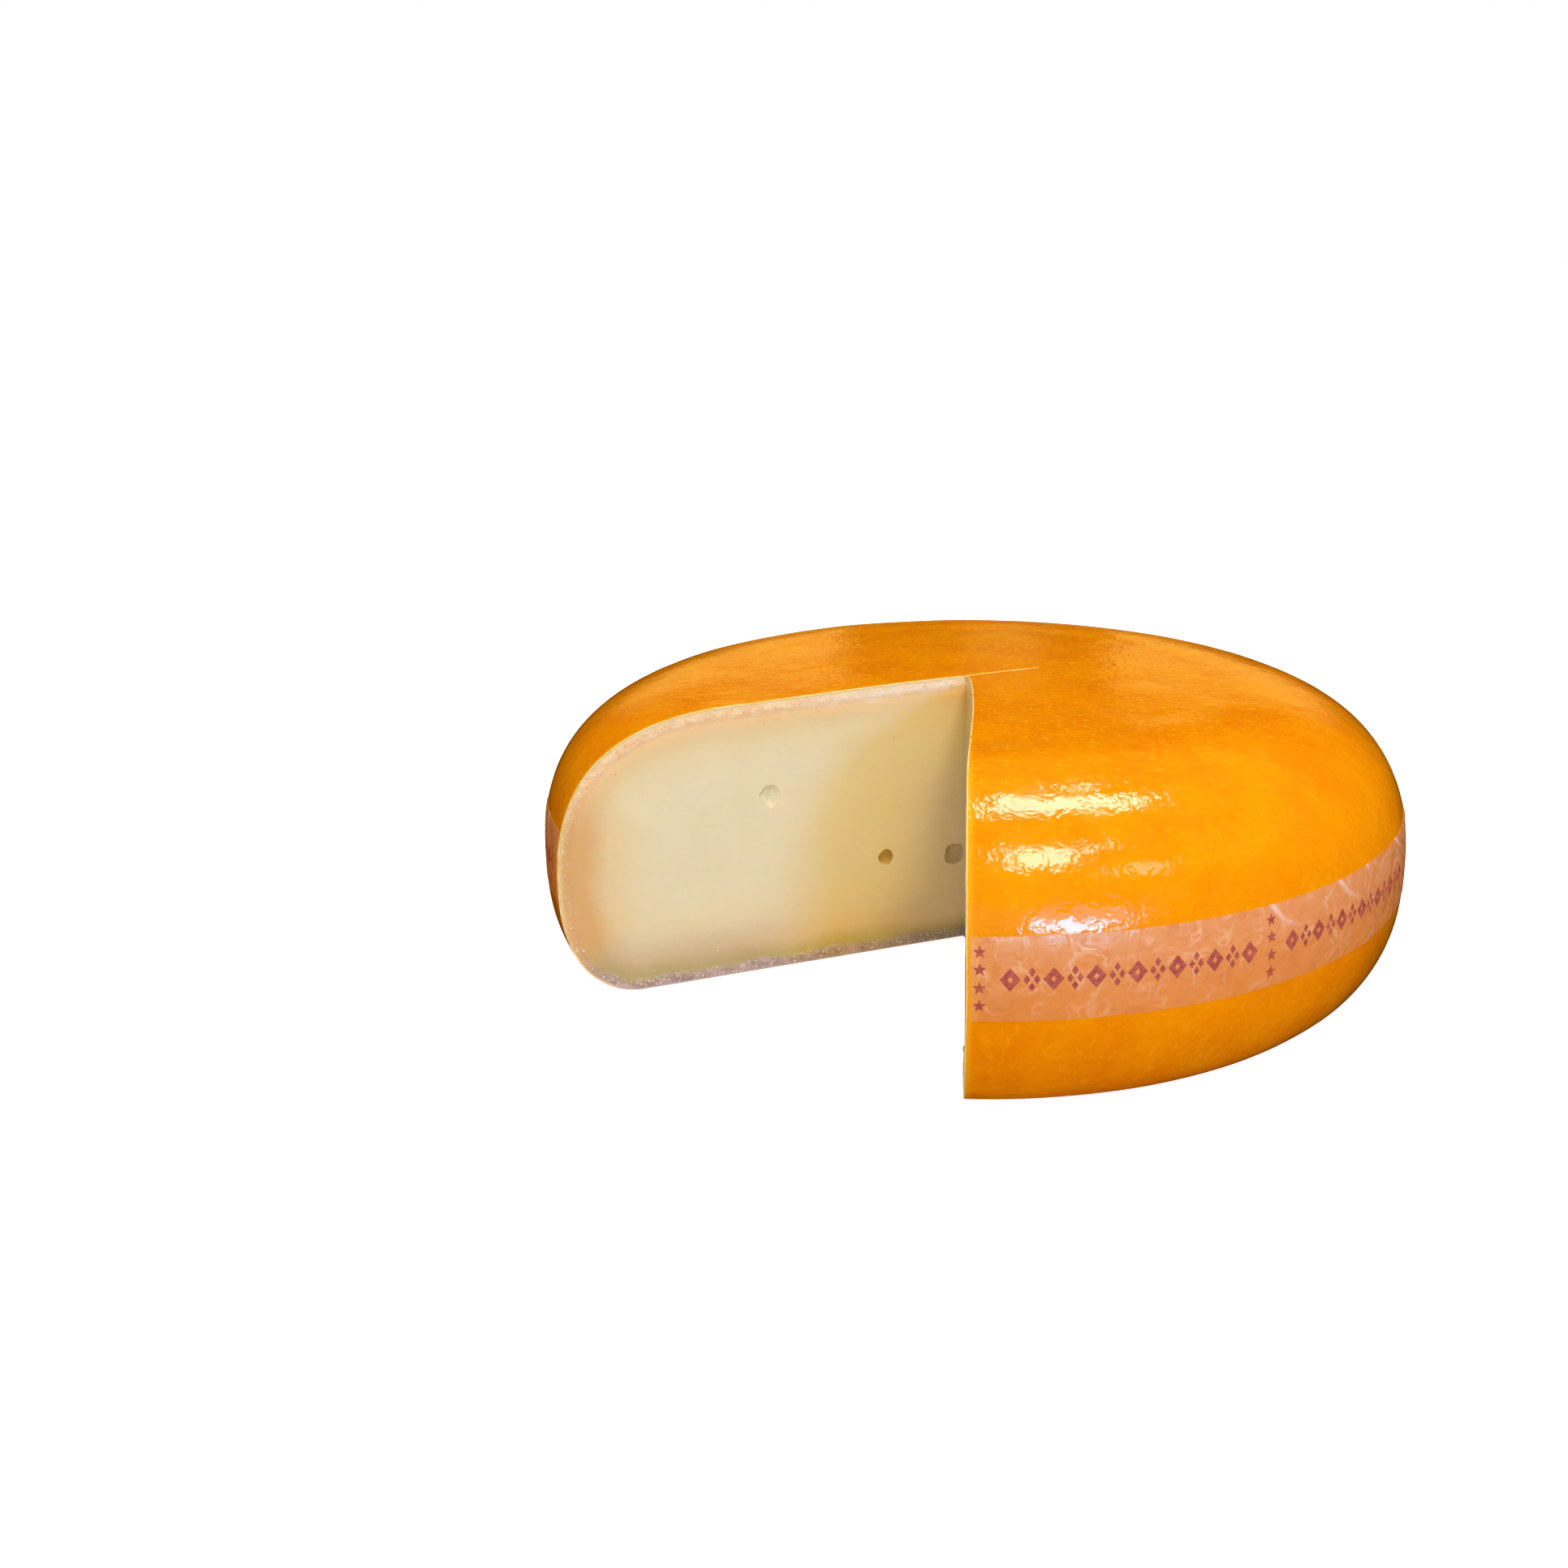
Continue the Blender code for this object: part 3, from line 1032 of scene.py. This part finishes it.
def girthPoint(arc, height, lift):
    # a point of the flat pattern, laid on the wheel's side
    turn = arc / wheelForm["radius"]
    radius = sideRadius(height)
    below = sideRadius(height - millimetre)
    above = sideRadius(height + millimetre)
    slope = (above - below) / (2.0 * millimetre)
    outward = Vector((math.sin(turn), -math.cos(turn), 0.0))
    normal = (outward - Vector((0.0, 0.0, slope))).normalized()
    spot = outward * radius + Vector((0.0, 0.0, height))
    return spot + normal * (coatLift(spot) + lift)


def bendRound(piece):
    for corner in piece.data.vertices:
        corner.co = girthPoint(corner.co.x, corner.co.y, corner.co.z)


def allCreases():
    form = hiddenCreases
    lines = list(creaseLines)
    draw = random.Random(form["seed"])
    turn = form["first"]
    while turn < form["last"]:
        drop = draw.uniform(*form["drop"])
        lean = draw.uniform(*form["lean"])
        kneeLean, kneeDrop = form["knee"]
        knee = (turn + lean * kneeLean, form["top"] - drop * kneeDrop)
        lines.append(((turn, form["top"]), knee, (turn + lean, form["top"] - drop)))
        turn += draw.uniform(*form["gap"])
    radius = wheelForm["radius"]
    return [[(math.radians(turn) * radius, height * millimetre) for turn, height in line] for line in lines]


def distanceToRun(x, y, run):
    nearest = 1.0
    along = 0.0
    for number, (start, end) in enumerate(zip(run, run[1:])):
        step = (end[0] - start[0], end[1] - start[1])
        length = step[0] ** 2 + step[1] ** 2
        share = clamp(((x - start[0]) * step[0] + (y - start[1]) * step[1]) / length)
        gap = math.hypot(x - start[0] - step[0] * share, y - start[1] - step[1] * share)
        if gap < nearest:
            nearest = gap
            along = (number + share) / (len(run) - 1)
    return nearest, along


creases = allCreases()


def creaseAt(x, y):
    form = bandForm
    wide, narrowing = form["creaseTaper"]
    strongest = 0.0
    for run in creases:
        if abs(x - run[0][0]) < form["creaseReach"]:
            gap, along = distanceToRun(x, y, run)
            width = form["creaseWidth"] * (wide - narrowing * along)
            strength = (1.0 - softStep(gap, 0.0, width)) * (1.0 - form["creaseFade"] * along)
            strongest = max(strongest, strength)
    return strongest


def paperLift(x, y):
    long, across = bandForm["wrinkleSize"]
    wrinkle = noise.noise(Vector((x / long, y / across, 4.0)))
    return wrinkle * bandForm["wrinkle"] + creaseAt(x, y) * bandForm["creaseHeight"]


bandFinish = {
    "upper": linear(236, 152, 88),
    "lower": linear(235, 142, 64),
    "cloudSize": 0.014,
    "cloudReach": 0.009,
    "dark": linear(224, 128, 60),
    "darkShare": 0.40,
    "patchSize": 0.0055,
    "patchDepth": 0.00016,
    "fibre": linear(252, 190, 140),
    "fibreWidth": 0.060,               # as a share of the noise's range
    "fibreShares": (0.30, 0.55),       # at the lower and the upper edge
    "fibreGapSize": 0.009,
    "strandSize": 0.0130,
    "strandDepth": 0.00060,
    # painted highlight on the raised folds of the paper
    "foldHighlight": linear(255, 216, 188),
    "nearCut": linear(252, 168, 64),
    "nearCutFade": (0.0, 0.0060, 0.7, 0.0),
    "roughness": (0.20, 0.34),
    "specular": 0.5,
    "scatter": (0.10, (1.0, 0.4, 0.2), 0.001),
}


def bandMaterial():
    finish = bandFinish
    material, tree, place = newMaterial("salmonTissuePaper")
    cloud = tree.noise(place, finish["cloudSize"], 3.0, 0.6, 0.6)
    lifted = tree.drift(readHeight(tree, place), cloud, 0.25, 0.75, finish["cloudReach"])
    level = tree.spread(lifted, bandForm["low"], bandForm["high"])
    ground = tree.mix(level, finish["lower"], finish["upper"])
    patch = tree.noise(place, finish["patchSize"], 2.0, 0.55, 1.0)
    ground = tree.mix(tree.spread(patch, 0.52, 0.34, 0.0, finish["darkShare"]), ground, finish["dark"])
    # soft pale strands, more of them in the upper half
    strand = tree.noise(place, finish["strandSize"], 2.0, 0.45, 1.6)
    fibre = tree.ridges(strand, finish["fibreWidth"])
    fibre = tree.times(fibre, tree.spread(tree.noise(place, finish["fibreGapSize"], 2.0), 0.40, 0.64))
    fibre = tree.times(fibre, tree.spread(level, 0.0, 1.0, *finish["fibreShares"]))
    colour = tree.mix(fibre, ground, finish["fibre"])
    # painted highlight: lighter paper along the folds
    colour = tree.mix(readNumber(tree, "crease"), colour, finish["foldHighlight"])
    nearCut = tree.spread(readNumber(tree, "cutDistance"), *finish["nearCutFade"])
    colour = tree.mix(nearCut, colour, finish["nearCut"])
    relief = tree.bump(patch, finish["patchDepth"], tree.bump(strand, finish["strandDepth"]))
    return finishMaterial(material, tree, finish, colour, strand, relief)


def paperBand():
    form = bandForm
    startArc = form["start"] * wheelForm["radius"]
    length = (form["end"] - form["start"]) * wheelForm["radius"]
    width = form["high"] - form["low"]
    deselectAll()
    bpy.ops.mesh.primitive_grid_add(
        x_subdivisions=round(length / form["cell"]), y_subdivisions=round(width / form["cell"]), size=1.0
    )
    band = nameNew("paperBand")
    foldHighlightShares = []
    for corner in band.data.vertices:
        x = startArc + (corner.co.x + 0.5) * length
        edge = abs(corner.co.y) * 2.0
        spot = Vector((x / form["edgeWanderSize"], corner.co.y * 0.5, 2.0))
        y = form["low"] + (corner.co.y + 0.5) * width + noise.noise(spot) * form["edgeWander"] * edge
        y = clamp(y, form["low"], form["high"])
        corner.co = (x, y, form["proud"] + paperLift(x, y))
        foldHighlightShares.append(creaseAt(x, y))
    bendRound(band)
    # how strongly each point lies on a fold, which the band's material paints as a highlight
    addField(band, "crease", foldHighlightShares)
    addField(band, "cutDistance", [cutNearness(corner.co) for corner in band.data.vertices])
    band.data.materials.append(bandMaterial())
    giveThickness(band, form["thickness"])
    smoothByAngle(band, 50.0)
    return band


band = paperBand()
print("paper band:", len(band.data.polygons), "faces")


# The print on the band: columns of small stars, and between them a frieze of open lozenges
# that alternate with groups of four small ones

printForm = {
    "columnStart": math.radians(1.38),
    "columnPitch": math.radians(34.12),
    "starRadius": 0.0024,
    "starWaist": 0.42,
    "starHeights": (0.0675, 0.0615, 0.0550, 0.0486),
    "friezeStart": math.radians(3.22),            # from a column's middle
    "friezeEnd": math.radians(30.92),
    "endRoom": (math.radians(1.0), math.radians(1.6)),   # for a column and for a lozenge
    "friezeMiddle": 0.0580,
    "friezeHeight": 0.0082,
    "units": 13,
    "lozengeWidth": 0.0070,
    "stroke": 0.0019,
    "leafWidth": 0.0023,
    "leafHeight": 0.0033,
    "leafReach": (0.0017, 0.0026),     # sideways and upright, from the middle of four
    "thickness": 0.00010,
    "sunk": 0.00005,
}

inkFinish = {
    "full": linear(172, 72, 56),
    "worn": linear(196, 104, 78),
    "wearSize": 0.0016,
    "wearShare": 0.6,
    "strandSize": 0.0075,
    "strandShare": 0.4,
    "strandDepth": 0.00022,
    "roughness": (0.40, 0.55),
    "specular": 0.25,
}


def inkMaterial():
    finish = inkFinish
    material, tree, place = newMaterial("maroonInk")
    wear = tree.noise(place, finish["wearSize"], 3.0, 0.7)
    strand = tree.noise(place, finish["strandSize"], 3.0, 0.55, 2.2)
    faded = tree.math("ADD", tree.times(wear, finish["wearShare"]), tree.times(strand, finish["strandShare"]))
    colour = tree.mix(tree.spread(faded, 0.40, 0.66), finish["full"], finish["worn"])
    return finishMaterial(material, tree, finish, colour, wear, tree.bump(strand, finish["strandDepth"]))


def flatStar():
    form = printForm
    deselectAll()
    bpy.ops.mesh.primitive_circle_add(vertices=10, radius=form["starRadius"], fill_type="NGON")
    star = nameNew("star")
    for number, corner in enumerate(star.data.vertices):
        if number % 2:
            corner.co *= form["starWaist"]
    return star


def flatLozenge(width, height, stroke, cuts):
    # a solid lozenge, or an open one where there is a stroke
    deselectAll()
    bpy.ops.mesh.primitive_circle_add(vertices=4, radius=1.0, fill_type="NGON")
    lozenge = nameNew("lozenge")
    lozenge.scale = (width / 2.0, height / 2.0, 1.0)
    setPlace(lozenge)
    bpy.ops.object.mode_set(mode="EDIT")
    bpy.ops.mesh.select_all(action="SELECT")
    if stroke:
        bpy.ops.mesh.inset(thickness=stroke)
        bpy.ops.mesh.delete(type="ONLY_FACE")
        bpy.ops.mesh.select_all(action="SELECT")
    bpy.ops.mesh.subdivide(number_cuts=cuts)
    bpy.ops.object.mode_set(mode="OBJECT")
    return lozenge


def printAt(shape, arc, height):
    twin = copyPiece(shape)
    for corner in twin.data.vertices:
        corner.co.x += arc
        corner.co.y += height
    return twin


def bandPrint():
    form = printForm
    star = flatStar()
    ring = flatLozenge(form["lozengeWidth"], form["friezeHeight"], form["stroke"], 4)
    leaf = flatLozenge(form["leafWidth"], form["leafHeight"], 0.0, 2)
    sideways, upright = form["leafReach"]
    columnRoom, unitRoom = form["endRoom"]
    step = (form["friezeEnd"] - form["friezeStart"]) / (form["units"] - 1)
    marks = []
    turn = form["columnStart"]
    while turn < bandForm["end"] - columnRoom:
        for height in form["starHeights"]:
            marks.append(printAt(star, turn * wheelForm["radius"], height))
        for unit in range(form["units"]):
            place = turn + form["friezeStart"] + step * unit
            if place > bandForm["end"] - unitRoom:
                break
            arc = place * wheelForm["radius"]
            if unit % 2:
                for right, up in ((-sideways, 0.0), (sideways, 0.0), (0.0, -upright), (0.0, upright)):
                    marks.append(printAt(leaf, arc + right, form["friezeMiddle"] + up))
            else:
                marks.append(printAt(ring, arc, form["friezeMiddle"]))
        turn += form["columnPitch"]
    for pattern in (star, ring, leaf):
        bpy.data.objects.remove(pattern)
    ink = joinPieces(marks, "bandPrint")
    for corner in ink.data.vertices:
        lift = paperLift(corner.co.x, corner.co.y)
        corner.co.z = bandForm["proud"] + lift + form["thickness"] - form["sunk"]
    bendRound(ink)
    ink.data.materials.append(inkMaterial())
    giveThickness(ink, form["thickness"])
    return ink


ink = bandPrint()
print("band print:", len(ink.data.polygons), "faces")


# Crumbs in the rind of both cut faces, and pale crystals in the paste

grainForm = {
    "nearest": 0.001,        # from the inner edge
    "lowest": 0.0004,
    "wide": (0.7, 1.35),
    "tall": (0.6, 1.1),
    "uneven": 0.25,
    "sunk": 0.35,
    "searchRow": 0.0008,
    "toneSize": 0.0030,
    "specular": 0.3,
    "scatter": (0.3, (1.0, 0.7, 0.4), 0.001),
    "pitSize": 0.0004,
    "pitDepth": 0.00003,
}

crumbForm = {
    "count": 1000,
    "sizes": (0.00014, 0.00050),
    "depths": (0.0008, 0.0050),
    "sideHeights": (0.008, 0.095),     # fewer between these than in the base and the top rind
    "sideShare": 0.22,
    "fullShare": 0.9,
    "thinning": 0.7,                   # fewer the deeper they lie
    "tones": (linear(255, 236, 208), linear(236, 200, 160)),
    "roughness": (0.45, 0.60),
    "seed": 5,
}

crystalForm = {
    "count": 46,
    "sizes": (0.00022, 0.00045),
    "depth": 0.006,
    "share": 0.7,
    "tones": (linear(255, 248, 226), linear(246, 232, 190)),
    "roughness": (0.35, 0.50),
    "seed": 6,
}


def grainMaterial(name, form):
    finish = {**grainForm, **form}
    material, tree, place = newMaterial(name)
    tone = tree.noise(place, finish["toneSize"], 2.0)
    colour = tree.mix(tree.spread(tone, 0.35, 0.65), *finish["tones"])
    relief = tree.bump(tree.noise(place, finish["pitSize"]), finish["pitDepth"])
    return finishMaterial(material, tree, finish, colour, tone, relief)


def withinWheel(radius, height):
    if radius < wheelForm["crownRadius"]:
        return height < crownHeight(radius)
    if height > crownHeight(wheelForm["crownRadius"]):
        return False
    return radius < sideRadius(height)


def crumbChance(depth, height):
    form = crumbForm
    shallow, deep = form["depths"]
    low, high = form["sideHeights"]
    if depth < shallow or depth > deep:
        return 0.0
    level = form["sideShare"] if low <= height <= high else form["fullShare"]
    return level * (1.0 - form["thinning"] * (depth - shallow) / (deep - shallow))


def crystalChance(depth, height):
    return crystalForm["share"] if depth > crystalForm["depth"] else 0.0


def roundGrain():
    # the corners and faces of one grain of radius 1
    shape = bmesh.new()
    bmesh.ops.create_icosphere(shape, subdivisions=1, radius=1.0)
    corners = [corner.co.copy() for corner in shape.verts]
    faces = [[corner.index for corner in face.verts] for face in shape.faces]
    shape.free()
    return corners, faces


def scatterGrains(name, form, wanted, material):
    # one grain, copied over both cut faces wherever a place is wanted
    draw = random.Random(form["seed"])
    depths = outlineSearch(grainForm["searchRow"])[1]
    grain, faces = roundGrain()
    corners, polygons = [], []
    made = 0
    while made < form["count"]:
        side = draw.choice(("left", "right"))
        distance = draw.uniform(grainForm["nearest"], wheelForm["radius"])
        height = draw.uniform(grainForm["lowest"], wheelForm["height"])
        spot = cutSpot(side, distance, height)
        radius = math.hypot(spot.x, spot.y)
        if not withinWheel(radius, height):
            continue
        depth = depths.find((radius, 0.0, height))[2]
        if draw.random() > wanted(depth, height):
            continue
        size = draw.uniform(*form["sizes"])
        stretch = Vector([draw.uniform(*grainForm[way]) for way in ("wide", "wide", "tall")])
        middle = cutSpot(side, distance, height, size * grainForm["sunk"])
        first = len(corners)
        for place in grain:
            uneven = 1.0 + grainForm["uneven"] * noise.noise(place * 1.4 + Vector((made, 0.0, 0.0)))
            corners.append(middle + place * stretch * (size * uneven))
        polygons.extend([[first + number for number in face] for face in faces])
        made += 1
    mesh = bpy.data.meshes.new(name)
    mesh.from_pydata(corners, [], polygons)
    mesh.materials.append(material)
    piece = bpy.data.objects.new(name, mesh)
    bpy.context.scene.collection.objects.link(piece)
    smoothByAngle(piece, 60.0)
    return piece


crumbs = scatterGrains("rindCrumbs", crumbForm, crumbChance, grainMaterial("rindCrumb", crumbForm))
crystals = scatterGrains("crystals", crystalForm, crystalChance, grainMaterial("pasteCrystal", crystalForm))
print("grains:", len(crumbs.data.polygons) + len(crystals.data.polygons), "faces")


# What rides on the wheel, and which solids the pieces stand for

for piece in (wheel, lip, band, ink, crumbs, crystals):
    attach(piece, "root")
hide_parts("cheese_wheel")
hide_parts("paper_band")


# Floor, lights, world and camera

studio = {
    "floorSize": 40.0,
    "floorColour": (0.93, 0.925, 0.91),
    "floorGlow": (0.74, 0.74, 0.82, 1.0),
    "floorCloudSize": 0.4,
    "floorDimmer": 0.985,
    "floorRoughness": 0.8,
    "floorSpecular": 0.1,
    "panelHeight": 2.0,
    "panelBrightness": 12.0,
    "panelColour": (0.94, 0.96, 0.79),
    "softAim": (0.0, -0.05, 0.06),
    "shineAim": (0.05, -0.17, 0.07),
}

# Ceiling panels: name, middle, size and share of the full brightness
panels = (
    ("panelFarLeft", (0.26, 0.61), (0.32, 0.64), 1.0),
    ("panelFarRight", (0.61, 0.71), (0.38, 0.38), 1.0),
    ("panelBack", (0.46, 1.34), (0.14, 0.24), 0.8),
    ("panelNear", (0.54, -0.97), (0.48, 0.64), 1.2),
    ("panelBit", (0.88, -0.62), (0.17, 0.27), 0.7),
    ("panelSide", (1.75, -1.36), (0.50, 0.46), 0.35),
)

# Soft lights, which the coat doesn't mirror: name, place, size, power and colour
softLights = (
    ("nearCeiling", (0.55, -0.95, 2.0), (0.70, 0.90), 10.0, (1.0, 0.60, 0.48)),
    ("farCeiling", (-0.60, 0.50, 1.8), (0.80, 0.80), 6.5, (0.86, 1.0, 0.66)),
    ("room", (0.10, -2.20, 0.70), (1.40, 0.90), 12.0, (0.86, 1.0, 0.86)),
    ("window", (1.00, -2.27, 0.56), (0.40, 0.36), 34.0, (0.08, 0.31, 1.0)),
)

# The window's mirror image in the coat and the glow round that, which light nothing else
shines = (
    ("windowShine", (1.06, -2.16, 0.50), (0.84, 0.30), 18.5, (0.0, 0.64, 1.0), "RECTANGLE"),
    ("windowGlow", (1.14, -2.12, 0.62), (1.20, 0.90), 8.0, (0.02, 0.42, 0.90), "ELLIPSE"),
)


def paleFloor():
    deselectAll()
    bpy.ops.mesh.primitive_plane_add(size=studio["floorSize"])
    floor = nameNew("floor")
    material, tree, place = newMaterial("paleFloor")
    tone = tree.vary(tree.noise(place, studio["floorCloudSize"], 2.0))
    shade = studio["floorColour"]
    dimmer = [studio["floorDimmer"] * part for part in shade]
    shader = tree.nodes["Principled BSDF"]
    tree.feed(shader, "Base Color", tree.mix(tone, (*shade, 1.0), (*dimmer, 1.0)))
    shader.inputs["Roughness"].default_value = studio["floorRoughness"]
    shader.inputs["Specular IOR Level"].default_value = studio["floorSpecular"]
    shader.inputs["Emission Color"].default_value = studio["floorGlow"]
    shader.inputs["Emission Strength"].default_value = 1.0
    floor.data.materials.append(material)
    floor.visible_glossy = False
    floor.visible_diffuse = False


def areaLight(name, place, size, power, colour, target=None):
    # looks straight down unless it is aimed
    deselectAll()
    bpy.ops.object.light_add(type="AREA", location=place)
    light = nameNew(name)
    light.data.shape = "RECTANGLE"
    light.data.size = size[0]
    light.data.size_y = size[1]
    light.data.energy = power
    light.data.color = colour
    if target:
        light.rotation_euler = (Vector(target) - Vector(place)).to_track_quat("-Z", "Y").to_euler()
    return light


def studioLights():
    for name, (x, y), size, share in panels:
        power = studio["panelBrightness"] * share * math.pi * size[0] * size[1]
        areaLight(name, (x, y, studio["panelHeight"]), size, power, studio["panelColour"])
    for name, place, size, power, colour in softLights:
        soft = areaLight(name, place, size, power, colour, studio["softAim"])
        soft.visible_glossy = False
    for name, place, size, power, colour, outline in shines:
        shine = areaLight(name, place, size, power, colour, studio["shineAim"])
        shine.visible_diffuse = False
        shine.data.shape = outline


# The world: its light changes with height alone, the gloss mirrors other things, and the camera sees white
# Places are parts of a direction: x to the right, y to the back and z up

surroundings = {
    "white": (1.0, 1.0, 1.0, 1.0),
    "lowLight": (0.63, 0.40, 0.21, 1.0),
    "sideLight": (0.77, 0.55, 0.28, 1.0),
    "highLight": (0.30, 0.33, 0.39, 1.0),
    "lightZones": ((0.40, "lowLight"), (0.50, "sideLight"), (0.60, "sideLight"), (0.75, "highLight")),
    "dark": (0.01, 0.008, 0.002, 1.0),
    "patch": (0.72, 0.50, 0.11, 1.0),
    "patchHeights": (0.07, 0.11, 0.22, 0.28),
    "rightPatch": (0.092, 0.112, 0.30, 0.46),
    "leftPatch": (-0.066, -0.084, -0.22, -0.46),
    "faintPatch": (0.0, 0.02, 0.045, 0.065, 0.35),
    "behind": (0.6, 0.8),
    "table": (0.40, 0.18, 0.03, 1.0),
    "tableHeights": (0.05, 0.0),
    "tableEnds": (0.12, 0.20, 1.0, 0.0),
    "ceiling": (0.50, 0.38, 0.02, 1.0),
    "ceilingHeights": (0.43, 0.52),
}


def studioWorld():
    around = surroundings
    world = bpy.data.worlds.new("studio")
    bpy.context.scene.world = world
    world.use_nodes = True
    tree = Tree(world.node_tree)
    way = tree.add("ShaderNodeTexCoord").outputs["Generated"]
    x, y, z = tree.add("ShaderNodeSeparateXYZ", None, {0: way}).outputs
    level = tree.spread(z, -1.0, 1.0, 0.0, 1.0, False)
    fill = tree.ramp(level, [(stop, around[light]) for stop, light in around["lightZones"]])
    # what lies behind, mirrored in the top: two bright patches and a faint one between them
    behind = tree.spread(y, *around["behind"])
    bright = tree.math("ADD", tree.between(x, *around["rightPatch"]), tree.between(x, *around["leftPatch"]))
    patches = tree.math("ADD", bright, tree.between(x, *around["faintPatch"]))
    patches = tree.times(patches, tree.times(tree.between(z, *around["patchHeights"]), behind))
    shine = tree.mix(patches, around["dark"], around["patch"])
    # the pale table far behind, mirrored only in the far edge
    table = tree.times(tree.spread(z, *around["tableHeights"]), behind)
    table = tree.times(table, tree.spread(tree.math("ABSOLUTE", x), *around["tableEnds"]))
    shine = tree.mix(table, shine, around["table"])
    shine = tree.mix(tree.spread(z, *around["ceilingHeights"]), shine, around["ceiling"])
    path = tree.add("ShaderNodeLightPath")
    seen = tree.mix(path.outputs["Is Glossy Ray"], fill, shine)
    seen = tree.mix(path.outputs["Is Camera Ray"], seen, around["white"])
    tree.feed(tree.nodes["Background"], "Color", seen)


photoCamera = {
    "place": (-0.0050, -0.69499, 0.28762),
    "turn": (72.601, 1.198, 5.635),
    "lens": 38.622,
    "sensor": 36.0,
    "nearest": 0.01,
}


def studioCamera():
    deselectAll()
    bpy.ops.object.camera_add(location=photoCamera["place"])
    camera = nameNew("photoCamera")
    camera.rotation_euler = [math.radians(turn) for turn in photoCamera["turn"]]
    camera.data.lens = photoCamera["lens"]
    camera.data.sensor_width = photoCamera["sensor"]
    camera.data.clip_start = photoCamera["nearest"]
    bpy.context.scene.camera = camera


paleFloor()
studioLights()
studioWorld()
studioCamera()
bpy.context.scene.view_settings.view_transform = "Standard"
print("studio set")
